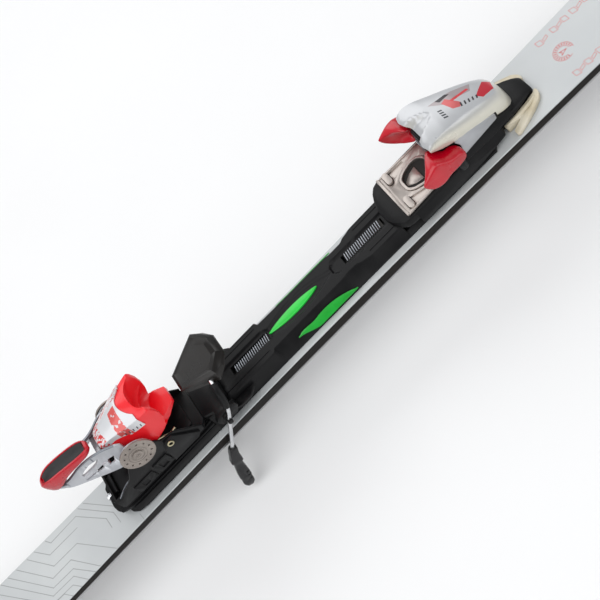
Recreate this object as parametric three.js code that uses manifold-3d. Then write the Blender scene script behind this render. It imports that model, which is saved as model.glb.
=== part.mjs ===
// Alpine ski with its integrated binding: plate, toe piece, heel piece and ski brake.
// Millimetres, +X towards the ski tip, +Y to the left, +Z up, origin on the running base.
import * as THREE from 'three';
import { mergeVertices } from 'three/addons/utils/BufferGeometryUtils.js';
import Module from 'manifold-3d';

const wasm = await Module();
wasm.setup();

// ---------- Driving dimensions ----------
const GAP = 0.3; // clearance between pieces that touch

const ski = {
  waist: 34, waistX: 4, sidecutRadius: 14400, // half width of the waist, and its place
  tailWide: -640, shovelWide: 785, // where the ski is widest
  tailLength: 56, shovelLength: 130, // rounded ends beyond those places
  tailLift: 180, shovelLift: 240, // radii that the ends curve up on
  liftFromTail: -640, liftFromShovel: 760,
  thickMiddle: 13.6, thickEnd: 4.4, thickPlace: 48, thickSpread: 545,
  base: 1.4, edgeWidth: 2.1, edgeHeight: 2.0, sheet: 0.9, laminate: 0.6, sidewall: 6,
};
const deck = ski.thickMiddle; // the top sheet under the binding

const plate = { margin: 7, foot: 0.3 };
const rack = { width: 7.5, pitch: 2.5, low: 8.3, valley: 10.6, crest: 12.6, slant: 0.8 };
const rearRack = [-72, -27];
const frontRack = [76, 123];

const wingPivot = { x: 212, y: 32, radius: 10.2, pin: 2 };
const afd = { rear: 145.6, front: 199, half: 27.8, low: 23.3, high: 25.4 };
const toeAxis = deck + 31; // height of the toe spring's axis

const heelPivot = { x: -178, z: deck + 64 };
const disc = { radius: 17.7, inner: 28.7, outer: 30.4, holes: 12, holeCircle: 13.4, hole: 1 };
const leverHub = { inner: 26.5, outer: 28.4, radius: 16 };
const cheek = { inner: 24.4, outer: 26.2 };
const heelAxis = deck + 77; // height of the heel spring's axis at the rear of its housing

const brakePivot = { x: -103, z: deck + 16 };
const crankPin = { x: -84, z: deck + 56 };
const wire = { radius: 2.1 };

// ---------- Materials ----------
function material(color, roughness, metalness) {
  return new THREE.MeshStandardMaterial({ color, roughness, metalness });
}
const pearlWhite = material(0xc9cbca, 0.3, 0.1);
const blackPlastic = material(0x1b1b1c, 0.5, 0);
const brownBlack = material(0x201b18, 0.35, 0);
const red = material(0xc8001c, 0.3, 0);
const brightGreen = material(0x10c828, 0.35, 0);
const silverPlastic = material(0xa9abb0, 0.4, 0.4);
const leverGrey = material(0x9aa0a8, 0.35, 0.6);
const satinNickel = material(0xb4a8a0, 0.35, 0.9);
const steel = material(0xb9bcc0, 0.3, 1);
const bronze = material(0x8d8178, 0.4, 0.9);
const brass = material(0xb9a878, 0.35, 0.9);
const ivory = material(0xe2d8bd, 0.45, 0);
const wood = material(0xc9a36b, 0.7, 0);
const polyethylene = material(0x17181a, 0.4, 0);

// ---------- Geometry helpers ----------
function bare(geometry) {
  const copy = geometry.clone();
  copy.deleteAttribute('normal');
  copy.deleteAttribute('uv');
  return mergeVertices(copy, 1e-4);
}

function signedVolume(geometry) {
  const place = geometry.getAttribute('position');
  const index = geometry.getIndex().array;
  const corner = [0, 1, 2].map(() => new THREE.Vector3());
  let sum = 0;
  for (let i = 0; i < index.length; i += 3) {
    corner.forEach((point, j) => point.fromBufferAttribute(place, index[i + j]));
    sum += corner[0].dot(corner[1].clone().cross(corner[2]));
  }
  return sum / 6;
}

function flipped(geometry) {
  const index = geometry.getIndex().array;
  for (let i = 0; i < index.length; i += 3) {
    [index[i], index[i + 1]] = [index[i + 1], index[i]];
  }
  return geometry;
}

function facingOut(geometry) {
  return signedVolume(geometry) < 0 ? flipped(geometry) : geometry;
}

// A body through closed rings of equally many points. Its two ends are capped by fans, or by bands
// across the ring where the ring is the outline of a thin bent strip.
function loft(rings, thinStrip = false) {
  const count = rings[0].length;
  const positions = rings.flat(2);
  const faces = [];
  for (let row = 0; row < rings.length - 1; row++) {
    for (let i = 0; i < count; i++) {
      const a = row * count + i;
      const b = row * count + (i + 1) % count;
      faces.push(a, b, a + count, b, b + count, a + count);
    }
  }
  const addBand = (row, reverse) => {
    for (let i = 0; i < count / 2 - 1; i++) {
      const [a, b] = [row * count + i, row * count + i + 1];
      const [c, d] = [(row + 1) * count - 2 - i, (row + 1) * count - 1 - i];
      faces.push(...(reverse ? [c, b, a, d, c, a] : [a, b, c, a, c, d]));
    }
  };
  const addFan = (row, reverse) => {
    const middle = positions.length / 3;
    const ring = rings[row];
    for (let k = 0; k < 3; k++) {
      positions.push(ring.reduce((sum, point) => sum + point[k], 0) / count);
    }
    for (let i = 0; i < count; i++) {
      const a = row * count + i;
      const b = row * count + (i + 1) % count;
      faces.push(...(reverse ? [b, a, middle] : [a, b, middle]));
    }
  };
  const addCap = thinStrip ? addBand : addFan;
  addCap(0, true);
  addCap(rings.length - 1, false);
  const geometry = new THREE.BufferGeometry();
  geometry.setAttribute('position', new THREE.Float32BufferAttribute(positions, 3));
  geometry.setIndex(faces);
  return facingOut(geometry);
}

function shapeOf(points) {
  return new THREE.Shape(points.map(([u, v]) => new THREE.Vector2(u, v)));
}

// An outline in plan, between two heights.
function slab(points, low, high) {
  const options = { depth: high - low, bevelEnabled: false, steps: 1 };
  return bare(new THREE.ExtrudeGeometry(shapeOf(points), options).translate(0, 0, low));
}

// An outline seen from the side, between two places across the ski.
function sidePlate(points, right, left) {
  const options = { depth: left - right, bevelEnabled: false, steps: 1 };
  const body = new THREE.ExtrudeGeometry(shapeOf(points), options);
  return bare(body.rotateX(Math.PI / 2).translate(0, left, 0));
}

function block(x0, x1, y0, y1, z0, z1) {
  const body = new THREE.BoxGeometry(x1 - x0, y1 - y0, z1 - z0);
  return bare(body.translate((x0 + x1) / 2, (y0 + y1) / 2, (z0 + z1) / 2));
}

function rodX(x0, x1, y, z, radius, sides = 20) {
  const body = new THREE.CylinderGeometry(radius, radius, x1 - x0, sides).rotateZ(Math.PI / 2);
  return bare(body.translate((x0 + x1) / 2, y, z));
}

function rodY(x, y0, y1, z, radius, sides = 20) {
  const body = new THREE.CylinderGeometry(radius, radius, y1 - y0, sides);
  return bare(body.translate(x, (y0 + y1) / 2, z));
}

function rodZ(x, y, z0, z1, radius, sides = 20) {
  const body = new THREE.CylinderGeometry(radius, radius, z1 - z0, sides).rotateX(Math.PI / 2);
  return bare(body.translate(x, y, (z0 + z1) / 2));
}

function arc(x, y, radius, from, to, steps) {
  return Array.from({ length: steps + 1 }, (_, i) => {
    const angle = THREE.MathUtils.degToRad(from + (to - from) * i / steps);
    return [x + radius * Math.cos(angle), y + radius * Math.sin(angle)];
  });
}

// A wire of round section through points, bent smoothly.
function bentWire(points, radius, steps, sides = 8) {
  const path = new THREE.CatmullRomCurve3(points.map((p) => new THREE.Vector3(...p)));
  path.curveType = 'centripetal';
  const section = shapeOf(arc(0, 0, radius, 0, 360, sides).slice(0, sides));
  return bare(new THREE.ExtrudeGeometry(section, { steps, extrudePath: path }));
}

class Helix extends THREE.Curve {
  constructor(start, end, radius, turns) {
    super();
    Object.assign(this, { start, end, radius, turns });
  }
  getPoint(t) {
    const angle = 2 * Math.PI * this.turns * t;
    const x = this.start[0] + (this.end[0] - this.start[0]) * t;
    const z = this.start[1] + (this.end[1] - this.start[1]) * t;
    return new THREE.Vector3(x, this.radius * Math.cos(angle), z + this.radius * Math.sin(angle));
  }
}

function coilSpring(start, end, radius, turns, gauge) {
  const path = new Helix(start, end, radius, turns);
  const section = shapeOf(arc(0, 0, gauge, 0, 360, 5).slice(0, 5));
  const steps = turns * 10;
  return facingOut(bare(new THREE.ExtrudeGeometry(section, { steps, extrudePath: path })));
}

function toManifold(geometry) {
  const body = geometry.getIndex() ? geometry : bare(geometry);
  const vertProperties = new Float32Array(body.getAttribute('position').array);
  const triVerts = new Uint32Array(body.getIndex().array);
  return new wasm.Manifold(new wasm.Mesh({ numProp: 3, vertProperties, triVerts }));
}

function fromManifold(body) {
  const mesh = body.getMesh();
  const geometry = new THREE.BufferGeometry();
  geometry.setAttribute('position', new THREE.Float32BufferAttribute(mesh.vertProperties, 3));
  geometry.setIndex([...mesh.triVerts]);
  return geometry;
}

function cut(geometry, ...tools) {
  return fromManifold(tools.reduce((body, tool) => body.subtract(toManifold(tool)), toManifold(geometry)));
}

function join(geometry, ...others) {
  return fromManifold(others.reduce((body, other) => body.add(toManifold(other)), toManifold(geometry)));
}

function mirrored(geometry) {
  return flipped(geometry.clone().scale(1, -1, 1));
}

function rotated(geometry, degrees, x, z) {
  const angle = THREE.MathUtils.degToRad(degrees);
  return geometry.translate(-x, 0, -z).rotateY(angle).translate(x, 0, z);
}

const object = new THREE.Group();

function group() {
  const part = new THREE.Group();
  object.add(part);
  return part;
}

function piece(parent, name, geometry, look) {
  const mesh = new THREE.Mesh(geometry, look);
  mesh.name = name;
  parent.add(mesh);
}

// The geometry given is the one on the right, at negative Y.
function pair(parent, name, geometry, look) {
  piece(parent, `${name}_right`, geometry, look);
  piece(parent, `${name}_left`, mirrored(geometry), look);
}

// ---------- Ski ----------
function lerp(a, b, t) {
  return a + (b - a) * t;
}

function halfWidth(x) {
  const along = Math.min(Math.max(x, ski.tailWide), ski.shovelWide);
  const wide = ski.waist + (along - ski.waistX) ** 2 / (2 * ski.sidecutRadius);
  if (x > ski.shovelWide) {
    return wide * (1 - ((x - ski.shovelWide) / ski.shovelLength) ** 2) ** 0.4;
  }
  if (x < ski.tailWide) {
    return wide * (1 - ((x - ski.tailWide) / ski.tailLength) ** 2) ** 0.22;
  }
  return wide;
}

function thickness(x) {
  const spread = Math.exp(-(((x - ski.thickPlace) / ski.thickSpread) ** 2));
  return ski.thickEnd + (ski.thickMiddle - ski.thickEnd) * spread;
}

// A point of the ski: along it, across it, and above its running base.
function onSki(x, y, above) {
  const past = Math.max(x - ski.liftFromShovel, 0) - Math.max(ski.liftFromTail - x, 0);
  const radius = past > 0 ? ski.shovelLift : ski.tailLift;
  const angle = Math.asin(past / radius);
  const lift = radius * (1 - Math.cos(angle));
  return [x - above * Math.sin(angle), y, lift + above * Math.cos(angle)];
}

const coreRear = ski.tailWide - 8; // the wood core ends here, and a plastic spacer follows
const coreFront = ski.shovelWide + 6;

function stations(from, to) {
  const rounded = [10, 25, 40, 55, 68, 78, 84].map((d) => Math.sin(THREE.MathUtils.degToRad(d)));
  const list = [
    ...rounded.map((s) => ski.tailWide - s * ski.tailLength).reverse(),
    ...arc(0, 0, 1, 0, 1, 30).map((_, i) => lerp(ski.tailWide, ski.shovelWide, i / 30)),
    ...rounded.map((s) => ski.shovelWide + s * ski.shovelLength),
    coreRear, coreFront,
  ].sort((a, b) => a - b).filter((x) => x > from + 1 && x < to - 1);
  return [from, ...list, to];
}

const tailEnd = ski.tailWide - Math.sin(THREE.MathUtils.degToRad(84)) * ski.tailLength;
const tipEnd = ski.shovelWide + Math.sin(THREE.MathUtils.degToRad(84)) * ski.shovelLength;

// A layer of the ski between two lines across it and two heights; each is a function of x.
function layer(from, to, right, left, low, high) {
  return loft(stations(from, to).map((x) => [
    onSki(x, right(x), low(x)), onSki(x, left(x), low(x)),
    onSki(x, left(x), high(x)), onSki(x, right(x), high(x)),
  ]));
}

function full(from, to, inset, low, high) {
  return layer(from, to, (x) => inset - halfWidth(x), (x) => halfWidth(x) - inset, low, high);
}

function rightStrip(from, to, inset, wide, low, high) {
  return layer(from, to, (x) => inset - halfWidth(x), (x) => inset + wide - halfWidth(x), low, high);
}

function makeSki() {
  const part = group();
  const seam = 0.1;
  const low = () => ski.edgeHeight + ski.laminate + 2 * seam;
  const high = (x) => thickness(x) - ski.sheet - ski.laminate - 2 * seam;
  const laminateTop = (x) => thickness(x) - ski.sheet - seam;
  const baseInset = ski.edgeWidth + seam;
  piece(part, 'running_base', full(tailEnd, tipEnd, baseInset, () => 0, () => ski.base), polyethylene);
  pair(part, 'steel_edge',
    rightStrip(tailEnd, tipEnd, 0, ski.edgeWidth, () => 0, () => ski.edgeHeight), steel);
  piece(part, 'lower_laminate', full(tailEnd, tipEnd, 0,
    () => ski.edgeHeight + seam, () => ski.edgeHeight + seam + ski.laminate), blackPlastic);
  piece(part, 'wood_core', full(coreRear, coreFront, ski.sidewall + seam, low, high), wood);
  pair(part, 'sidewall', rightStrip(coreRear, coreFront, 0, ski.sidewall, low, high), blackPlastic);
  piece(part, 'tail_spacer', full(tailEnd, coreRear - seam, 0, low, high), blackPlastic);
  piece(part, 'tip_spacer', full(coreFront + seam, tipEnd, 0, low, high), blackPlastic);
  piece(part, 'upper_laminate', full(tailEnd, tipEnd, 0,
    (x) => laminateTop(x) - ski.laminate, laminateTop), blackPlastic);
  piece(part, 'top_sheet', full(tailEnd, tipEnd, 0, (x) => thickness(x) - ski.sheet, thickness), pearlWhite);
}

// ---------- Interface plate ----------
// Each row: place along the ski, half width of the top, height of the top above the deck.
const plateRows = [
  [-240, 12, 6], [-238, 18, 6], [-233, 22.4, 6], [-224, 24.6, 6], [-119.2, 24.6, 6],
  [-119, 22.7, 17.2], [-31, 22.7, 17.2], [-28, 18.6, 16.6], [15, 18.2, 16], [60, 18, 15.6],
  [70, 16.6, 15.4], [80, 16.9, 15.3], [88, 20, 15.2], [98, 22.2, 15], [134, 22.6, 14.8],
  [134.2, 25, 6], [255, 25, 6], [262, 24, 5],
];

function plateFoot(x, top) {
  const rounded = x < -225 || x > 240 ? 2.2 : Infinity;
  return Math.min(halfWidth(x) - plate.margin, top + rounded);
}

function lens(from, to, half, steps = 12) {
  const side = (sign) => Array.from({ length: steps }, (_, i) => {
    const t = (i + (sign > 0 ? 0 : 1)) / steps;
    return [lerp(from, to, sign > 0 ? t : 1.0001 - t), sign * half * Math.sin(Math.PI * t) ** 0.8];
  });
  const rightSide = side(1).map(([x, y]) => [x, -y]);
  const leftSide = side(1).map(([x, y]) => [from + to - x, y]);
  return [...rightSide, ...leftSide];
}

function makePlate() {
  const part = group();
  const foot = deck + plate.foot;
  const body = loft(plateRows.map(([x, top, height]) => {
    const wide = plateFoot(x, top);
    const shoulder = deck + height - 1.4;
    return [
      [x, -wide, foot], [x, wide, foot], [x, wide, foot + 2], [x, top, shoulder],
      [x, top - 1.3, deck + height], [x, 1.3 - top, deck + height],
      [x, -top, shoulder], [x, -wide, foot + 2],
    ];
  }));
  const channel = (from, to) => block(from, to, -4.6, 4.6, deck + rack.low - GAP, deck + 30);
  const inlay = { from: -24, to: 39, half: 5.6, low: deck + 14.4, high: deck + 16.1 };
  const seat = slab(lens(inlay.from - 0.6, inlay.to + 0.6, inlay.half + 0.4), inlay.low - GAP, deck + 30);
  const lowered = cut(body, channel(rearRack[0] - 3, rearRack[1] + 1),
    channel(frontRack[0] - 3, frontRack[1] + 2), seat);
  piece(part, 'interface_plate', lowered, blackPlastic);
  piece(part, 'inlay_center', slab(lens(inlay.from, inlay.to, inlay.half), inlay.low, inlay.high),
    brightGreen);
  [['rack_rear', rearRack], ['rack_front', frontRack]].forEach(([name, [from, to]]) => {
    piece(part, name, ribbedStrip(from, to), steel);
  });
  pair(part, 'inlay_side', sideLeaf(), brightGreen);
}

function ribbedStrip(from, to) {
  const count = Math.floor((to - from) / rack.pitch);
  const points = [[from, deck + rack.low], [to, deck + rack.low]];
  for (let i = count; i > 0; i--) {
    const x = from + i * rack.pitch;
    points.push([x, deck + rack.valley], [x - 0.5, deck + rack.crest]);
    points.push([x - 1.5, deck + rack.crest], [x - 1.9, deck + rack.valley]);
  }
  points.push([from, deck + rack.valley]);
  const half = rack.width / 2;
  const strip = sidePlate(points, -half, half);
  return strip.applyMatrix4(new THREE.Matrix4().makeShear(0, 0, rack.slant / rack.width, 0, 0, 0));
}

// A thin leaf that lies on the plate's sloping right side.
function sideLeaf() {
  const top = { y: -18.2, z: deck + 14.3 };
  const bottom = { y: -27, z: deck + 2.6 };
  const length = Math.hypot(bottom.y - top.y, bottom.z - top.z);
  const rows = 12;
  const rings = Array.from({ length: rows + 1 }, (_, i) => {
    const t = i / rows;
    const x = lerp(-4, 66, t);
    const bulge = Math.sin(Math.PI * Math.min(Math.max(t, 0.03), 0.97)) ** 0.75;
    const low = lerp(length * 0.55, length * 0.96, Math.min(t * 3.2, 1));
    const high = low - Math.min(bulge * length * 0.62, low - 0.6);
    const out = { y: (bottom.z - top.z) / length, z: -(bottom.y - top.y) / length };
    const at = (s, lift) => [x, lerp(top.y, bottom.y, s / length) + out.y * lift,
      lerp(top.z, bottom.z, s / length) + out.z * lift];
    return [at(low, 0.6), at(high, 0.6), at(high, 1.4), at(low, 1.4)];
  });
  return loft(rings);
}

// ---------- Toe piece ----------
// Each row: place along the ski, half widths at the bottom and top, heights above the deck.
const toeBaseRows = [
  [135, 23, 20, 15.3, 18], [137.5, 28, 26, 15.3, 20.4], [141, 30.4, 29, 15.3, 22.4],
  [146, 31.4, 30, 15.3, 23], [151.8, 31.5, 30, 15.3, 23], [152, 31.5, 30, 6.3, 23],
  [200, 31.6, 30, 6.3, 23], [224, 31, 28, 6.3, 22.6], [246, 29, 22, 6.3, 18],
  [262, 27, 11, 6.3, 13.4], [275.8, 26, 10, 6.3, 9.8], [276, 26, 10, 0.4, 9.8],
  [290, 20, 12, 0.4, 7], [300, 14, 11, 0.4, 4.6], [303, 11, 9.4, 0.4, 3.4],
];
// Each row: place, half width, height of the crown and of the lower edge above the deck.
const coverRows = [
  [199.5, 28.6, 69, 62], [208, 29.4, 71, 57], [220, 29, 69.6, 51.5], [235, 27.4, 63.4, 45],
  [250, 25, 56.4, 36], [264, 22, 48.6, 27], [276, 18.6, 41, 20], [284, 14, 33.4, 16],
  [287.5, 9.5, 26, 15],
];

function archRing(x, half, crown, edge, steps = 12) {
  const ring = Array.from({ length: steps + 1 }, (_, i) => {
    const angle = Math.PI * i / steps;
    const across = Math.sign(Math.cos(angle)) * Math.abs(Math.cos(angle)) ** 0.75;
    return [x, -half * across, deck + lerp(edge, crown, Math.sin(angle) ** 0.7)];
  });
  return ring;
}

function makeToeCover() {
  const shell = 2.2;
  const outer = loft(coverRows.map(([x, half, crown, edge]) => archRing(x, half, crown, edge)));
  const inner = loft(coverRows.slice(0, -1).map(([x, half, crown, edge], i) => {
    const place = i === 0 ? x - 5 : x;
    const lowered = archRing(place, half - shell, crown - shell, edge);
    return [...lowered, [place, half - shell, deck + edge - 12], [place, shell - half, deck + edge - 12]];
  }));
  const scallop = slab([[190, -13], [202, -11.5], [207, 0], [202, 11.5], [190, 13]], deck + 50, deck + 90);
  return cut(outer, inner, scallop);
}

// Each row: place, half width, lowest and highest point above the deck.
const toeHousingRows = [
  [203, 17, 23.4, 58], [210, 19, 23.4, 60], [223, 19.6, 23.4, 56], [223.3, 25, 23.4, 47],
  [235, 24.6, 21.4, 42.6], [250, 22.2, 17.6, 33.6], [262, 19.4, 14.2, 24.8], [280, 12, 9.6, 17.6],
];

function makeToeHousing() {
  const body = loft(toeHousingRows.map(([x, half, low, high]) => [
    [x, -half, deck + low], [x, half, deck + low], [x, half, deck + high - 4],
    [x, half - 4, deck + high], [x, 4 - half, deck + high], [x, -half, deck + high - 4],
  ]));
  const bore = rodX(213, 300, 0, toeAxis, 8.3, 20);
  const nose = rodX(244, 300, 0, toeAxis, 9.2, 20);
  return cut(body, bore, nose);
}

function makeWing() {
  const { x, y, radius } = wingPivot;
  const low = deck + 29;
  const high = deck + 60;
  const jaw = slab([
    [200, -15.4], [196, -16.4], [190.5, -26], [183, -33.5], [174.6, -38.6], [173.6, -42.5], [176, -44.6],
    [186, -45], [200, -44.4], [x, -y - radius], [x, -y + radius], [204.5, -25.6], [201.4, -20],
  ], low, high);
  const hub = rodZ(x, -y, deck + 30, deck + 60, radius, 24);
  const above = sidePlate([
    [165, deck + 47.8], [176, deck + 47.8], [186, deck + 57.5], [197, deck + 58.4], [206, deck + 50],
    [214, deck + 47], [228, deck + 45.6], [228, deck + 90], [165, deck + 90],
  ], -60, 0);
  const below = sidePlate([
    [165, deck + 10], [230, deck + 10], [230, deck + 36], [221, deck + 34.6], [208, deck + 30.4],
    [190, deck + 28.4], [181, deck + 29.6], [173, deck + 39], [165, deck + 47.8],
  ], -60, 0);
  const hole = rodZ(x, -y, deck, deck + 80, wingPivot.pin + GAP, 16);
  return cut(join(jaw, hub), above, below, hole);
}

function makeAfd() {
  const outline = [
    [afd.rear, -afd.half], [afd.front, -afd.half + 2], [afd.front, afd.half - 2], [afd.rear, afd.half],
  ];
  const opening = slab([
    [163.5, -5], [162.6, 0], [163.5, 5], [168, 11.5], [178, 16], [186, 18], [190, 14], [190, -14],
    [186, -18], [178, -16], [168, -11.5],
  ], deck, deck + 40);
  const rim = block(afd.rear, afd.rear + 2.4, -afd.half, afd.half, deck + 24, deck + 26.4);
  const boss = (y) => {
    const across = 4.6;
    const ends = [rodZ(155.1, y - across, deck + 24.5, deck + 28.4, 3.2, 16),
      rodZ(155.1, y + across, deck + 24.5, deck + 28.4, 3.2, 16)];
    return [...ends, block(151.9, 158.3, y - across, y + across, deck + 24.5, deck + 28.4)];
  };
  const plateBody = cut(slab(outline, deck + afd.low, deck + afd.high), opening);
  return join(plateBody, rim, ...boss(18.6), ...boss(-18.6));
}

function makeLockClip() {
  const lowProng = slab([
    [264, -29.4], [292, -24.6], [299, -19.6], [304.6, -17.4], [304, -23.6], [297, -29.4], [286, -33],
    [266, -34.4],
  ], deck + 0.4, deck + 4);
  const post = slab([[298.6, -18.4], [304.6, -17.4], [304, -23.6], [297, -26]], deck + 0.4, deck + 11.4);
  const highProng = slab([
    [262.5, -18.2], [292, -16.6], [304.6, -17.4], [304, -23.6], [294, -23.8], [263, -22.8],
  ], deck + 10.9, deck + 12.8);
  return join(lowProng, post, highProng);
}

function sidePanel() {
  const ring = (x, y, low, high) => [[x, y, deck + low], [x, y, deck + high], [x, y - 1.4, deck + high],
    [x, y - 1.4, deck + low]];
  return loft([ring(224.4, -25.4, 25, 42.6), ring(235, -25, 23, 38.6), ring(250, -22.7, 19.6, 29.6),
    ring(261, -20.1, 16.4, 21)]);
}

function makeToe() {
  const part = group();
  const base = loft(toeBaseRows.map(([x, wide, narrow, low, high]) => {
    const shoulder = deck + lerp(low, high, x < 240 ? 0.35 : 0.1);
    return [[x, -wide, deck + low], [x, wide, deck + low], [x, wide, shoulder],
      [x, narrow, deck + high], [x, -narrow, deck + high], [x, -wide, shoulder]];
  }));
  const pinHole = (y) => rodZ(wingPivot.x, y, deck + 17, deck + 40, wingPivot.pin + GAP, 16);
  piece(part, 'toe_base', cut(base, pinHole(wingPivot.y - 5), pinHole(5 - wingPivot.y)), blackPlastic);
  piece(part, 'afd_plate', makeAfd(), satinNickel);
  piece(part, 'toe_housing', makeToeHousing(), blackPlastic);
  piece(part, 'toe_cover', makeToeCover(), pearlWhite);
  pair(part, 'wing', makeWing(), red);
  const { x, y, pin } = wingPivot;
  pair(part, 'wing_pin', rodZ(x, -y, deck + 23.4, deck + 47.5, pin, 16), steel);
  pair(part, 'side_panel', sidePanel(), silverPlastic);
  piece(part, 'toe_piston', join(rodX(214, 218, 0, toeAxis, 8, 20), rodX(217, 232, 0, toeAxis, 3, 16)),
    steel);
  piece(part, 'toe_spring', coilSpring([220, toeAxis], [240, toeAxis], 6.2, 4, 1.1), steel);
  piece(part, 'toe_din_screw', makeDinScrew(243, 252, toeAxis, 1), brass);
  pair(part, 'lock_clip', makeLockClip(), ivory);
  piece(part, 'nose_screw', rodZ(299, 0, deck + 5.4, deck + 6.4, 2.4, 16), steel);
}

// A slotted adjusting screw along X; its slotted end faces away from the spring.
function makeDinScrew(from, to, z, facing) {
  const end = facing > 0 ? to : from;
  const slot = block(end - 1.6, end + 1.6, -0.9, 0.9, z - 9, z + 9);
  return cut(rodX(from, to, 0, z, 5.6, 20), slot);
}

// ---------- Heel piece ----------
function makeHeelTrack() {
  const outline = [
    [-252, -8], [-250, -15], [-244, -20.5], [-234, -23.4], [-120.2, -23.4], [-120.2, 23.4],
    [-234, 23.4], [-244, 20.5], [-250, 15], [-252, 8],
  ];
  const body = slab(outline, deck + 6.3, deck + 9);
  const rail = (y) => block(-246, -120.2, y - 1.6, y + 1.6, deck + 8.5, deck + 12);
  return join(body, rail(19.6), rail(-19.6));
}

function makeHeelCarriage() {
  const pivot = heelPivot;
  const bed = slab([
    [-247, -8], [-243, -14], [-236, -17.4], [-142.4, -17.4], [-142.4, 17.4], [-236, 17.4], [-243, 14],
    [-247, 8],
  ], deck + 9.3, deck + 18);
  const upper = slab([[-236, -23.4], [-128, -26.2], [-122, -20], [-122, 20], [-128, 26.2], [-236, 23.4]],
    deck + 17.8, deck + 22);
  const side = [
    [-236, deck + 18], [-128, deck + 18], [-126, deck + 24], [-145, deck + 47], [-158, deck + 50],
    ...arc(pivot.x, pivot.z, 11, 10, 170, 8), [-208, deck + 42], [-232, deck + 30],
  ];
  const pinHole = rodY(pivot.x, -40, 40, pivot.z, 4, 20);
  const cheeks = [sidePlate(side, cheek.inner, cheek.outer), sidePlate(side, -cheek.outer, -cheek.inner)];
  const boss = [[-168, deck + 18], [-136, deck + 18], [-131, deck + 22], [-148, deck + 46],
    [-158, deck + 47], [-164, deck + 36]];
  const bosses = [sidePlate(boss, 26, 28.8), sidePlate(boss, -28.8, -26)];
  const rearWall = block(-238, -228, -24, 24, deck + 17, deck + 30);
  const screwHole = rodX(-260, -215, 0, deck + 14, 4.4, 16);
  const screwPocket = rodX(-260, -240, 0, deck + 14, 5, 16);
  return cut(join(bed, upper, ...cheeks, ...bosses, rearWall), pinHole, screwHole, screwPocket);
}

// Rows of the housing: place, half widths of the top and bottom, bottom, shoulder and crown heights.
const housingRows = [
  [-198, 9.4, 9.2, 68, 84, 86], [-192, 11.6, 15, 58, 86, 88.4], [-184, 14.4, 21.4, 50, 88, 91.4],
  [-172, 18.2, 23.4, 47, 90, 94.4], [-160, 21.4, 23.8, 47.4, 91.4, 96], [-150, 23.8, 24, 50, 92, 95],
  [-143, 25.2, 24, 52.6, 92.2, 93.6], [-138.2, 25.8, 24, 54, 92.1, 92.6],
];

function housingRing([x, top, bottom, low, shoulder, crown]) {
  const half = [[bottom - 4, low], [bottom, low + 4], [lerp(bottom, top, 0.55), lerp(low, shoulder, 0.6)],
    [top, shoulder - 2], [top - 1.6, shoulder], [top * 0.5, crown - 0.6]];
  const right = half.map(([y, z]) => [x, -y, deck + z]);
  const left = half.map(([y, z]) => [x, y, deck + z]).reverse();
  return [[x, 0, deck + low], ...right, [x, 0, deck + crown], ...left];
}

function makeHeelHousing() {
  const body = loft(housingRows.map(housingRing));
  const spur = slab([[-150, -19], [-134.6, -15.1], [-123.8, -9.3], [-123.8, 9.3], [-134.6, 15.1],
    [-150, 19]], deck + 51, deck + 60.5);
  const spurSlope = sidePlate([[-160, deck + 40], [-110, deck + 40], [-110, deck + 58], [-124, deck + 56.4],
    [-141, deck + 51.6], [-160, deck + 50]], -30, 30);
  const cup = sidePlate([[-120, deck + 60.6], [-147, deck + 62.4], [-152, deck + 68], [-151, deck + 80],
    [-147, deck + 88], [-143, deck + 110], [-120, deck + 110]], -20.6, 20.6);
  const front = sidePlate([[-120, deck + 55], [-133.5, deck + 56], [-146, deck + 66], [-146, deck + 74],
    [-137, deck + 92], [-130, deck + 110], [-120, deck + 110]], -40, 40);
  const bore = rodX(-220, -158, 0, heelAxis, 7, 20);
  const lipArc = rodZ(-118, 0, deck + 70, deck + 110, 26.4, 32);
  const hubRoom = rodY(heelPivot.x, -40, 40, heelPivot.z, 4.4, 20);
  return cut(join(cut(body, front, lipArc), spur), spurSlope, cup, bore, hubRoom);
}

// A thin panel that lies over the housing's crown and right side.
function makeHeelPanel() {
  const lift = 0.5;
  const thick = 1;
  const between = (x) => {
    const after = Math.max(housingRows.findIndex((row) => row[0] >= x), 1);
    const [a, b] = [housingRows[after - 1], housingRows[after]];
    return a.map((value, k) => lerp(value, b[k], (x - a[0]) / (b[0] - a[0])));
  };
  return loft([-197.4, -192, -184, -172, -160].map((x) => {
    const ring = housingRing(between(x));
    const over = [4, 5, 6, 7, 8, 9].map((k) => ring[k]);
    const raised = (amount) => over.map(([, y, z], k) => {
      const across = k < 3 ? -amount : (k > 3 ? amount : 0);
      return [x, y + across, z + (k > 0 ? amount : 0)];
    });
    return [...raised(lift), ...raised(lift + thick).reverse()];
  }), true);
}

function leverArm() {
  // Each row: place, distance from the middle, thickness, lowest and highest point.
  const rows = [
    [-186, 28.3, 1.7, 58, 80], [-196, 28.3, 1.7, 62, 84], [-210, 25, 4, 65, 85],
    [-224, 20.6, 4.4, 68, 85], [-238, 15, 4.6, 71, 84], [-250, 9.6, 5, 74, 84.4], [-258, 5, 6, 77, 84.8],
  ];
  return loft(rows.map(([x, outer, thick, low, high]) => [
    [x, -outer, deck + low], [x, thick - outer, deck + low], [x, thick - outer, deck + high],
    [x, -outer, deck + high - 3],
  ]));
}

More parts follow.
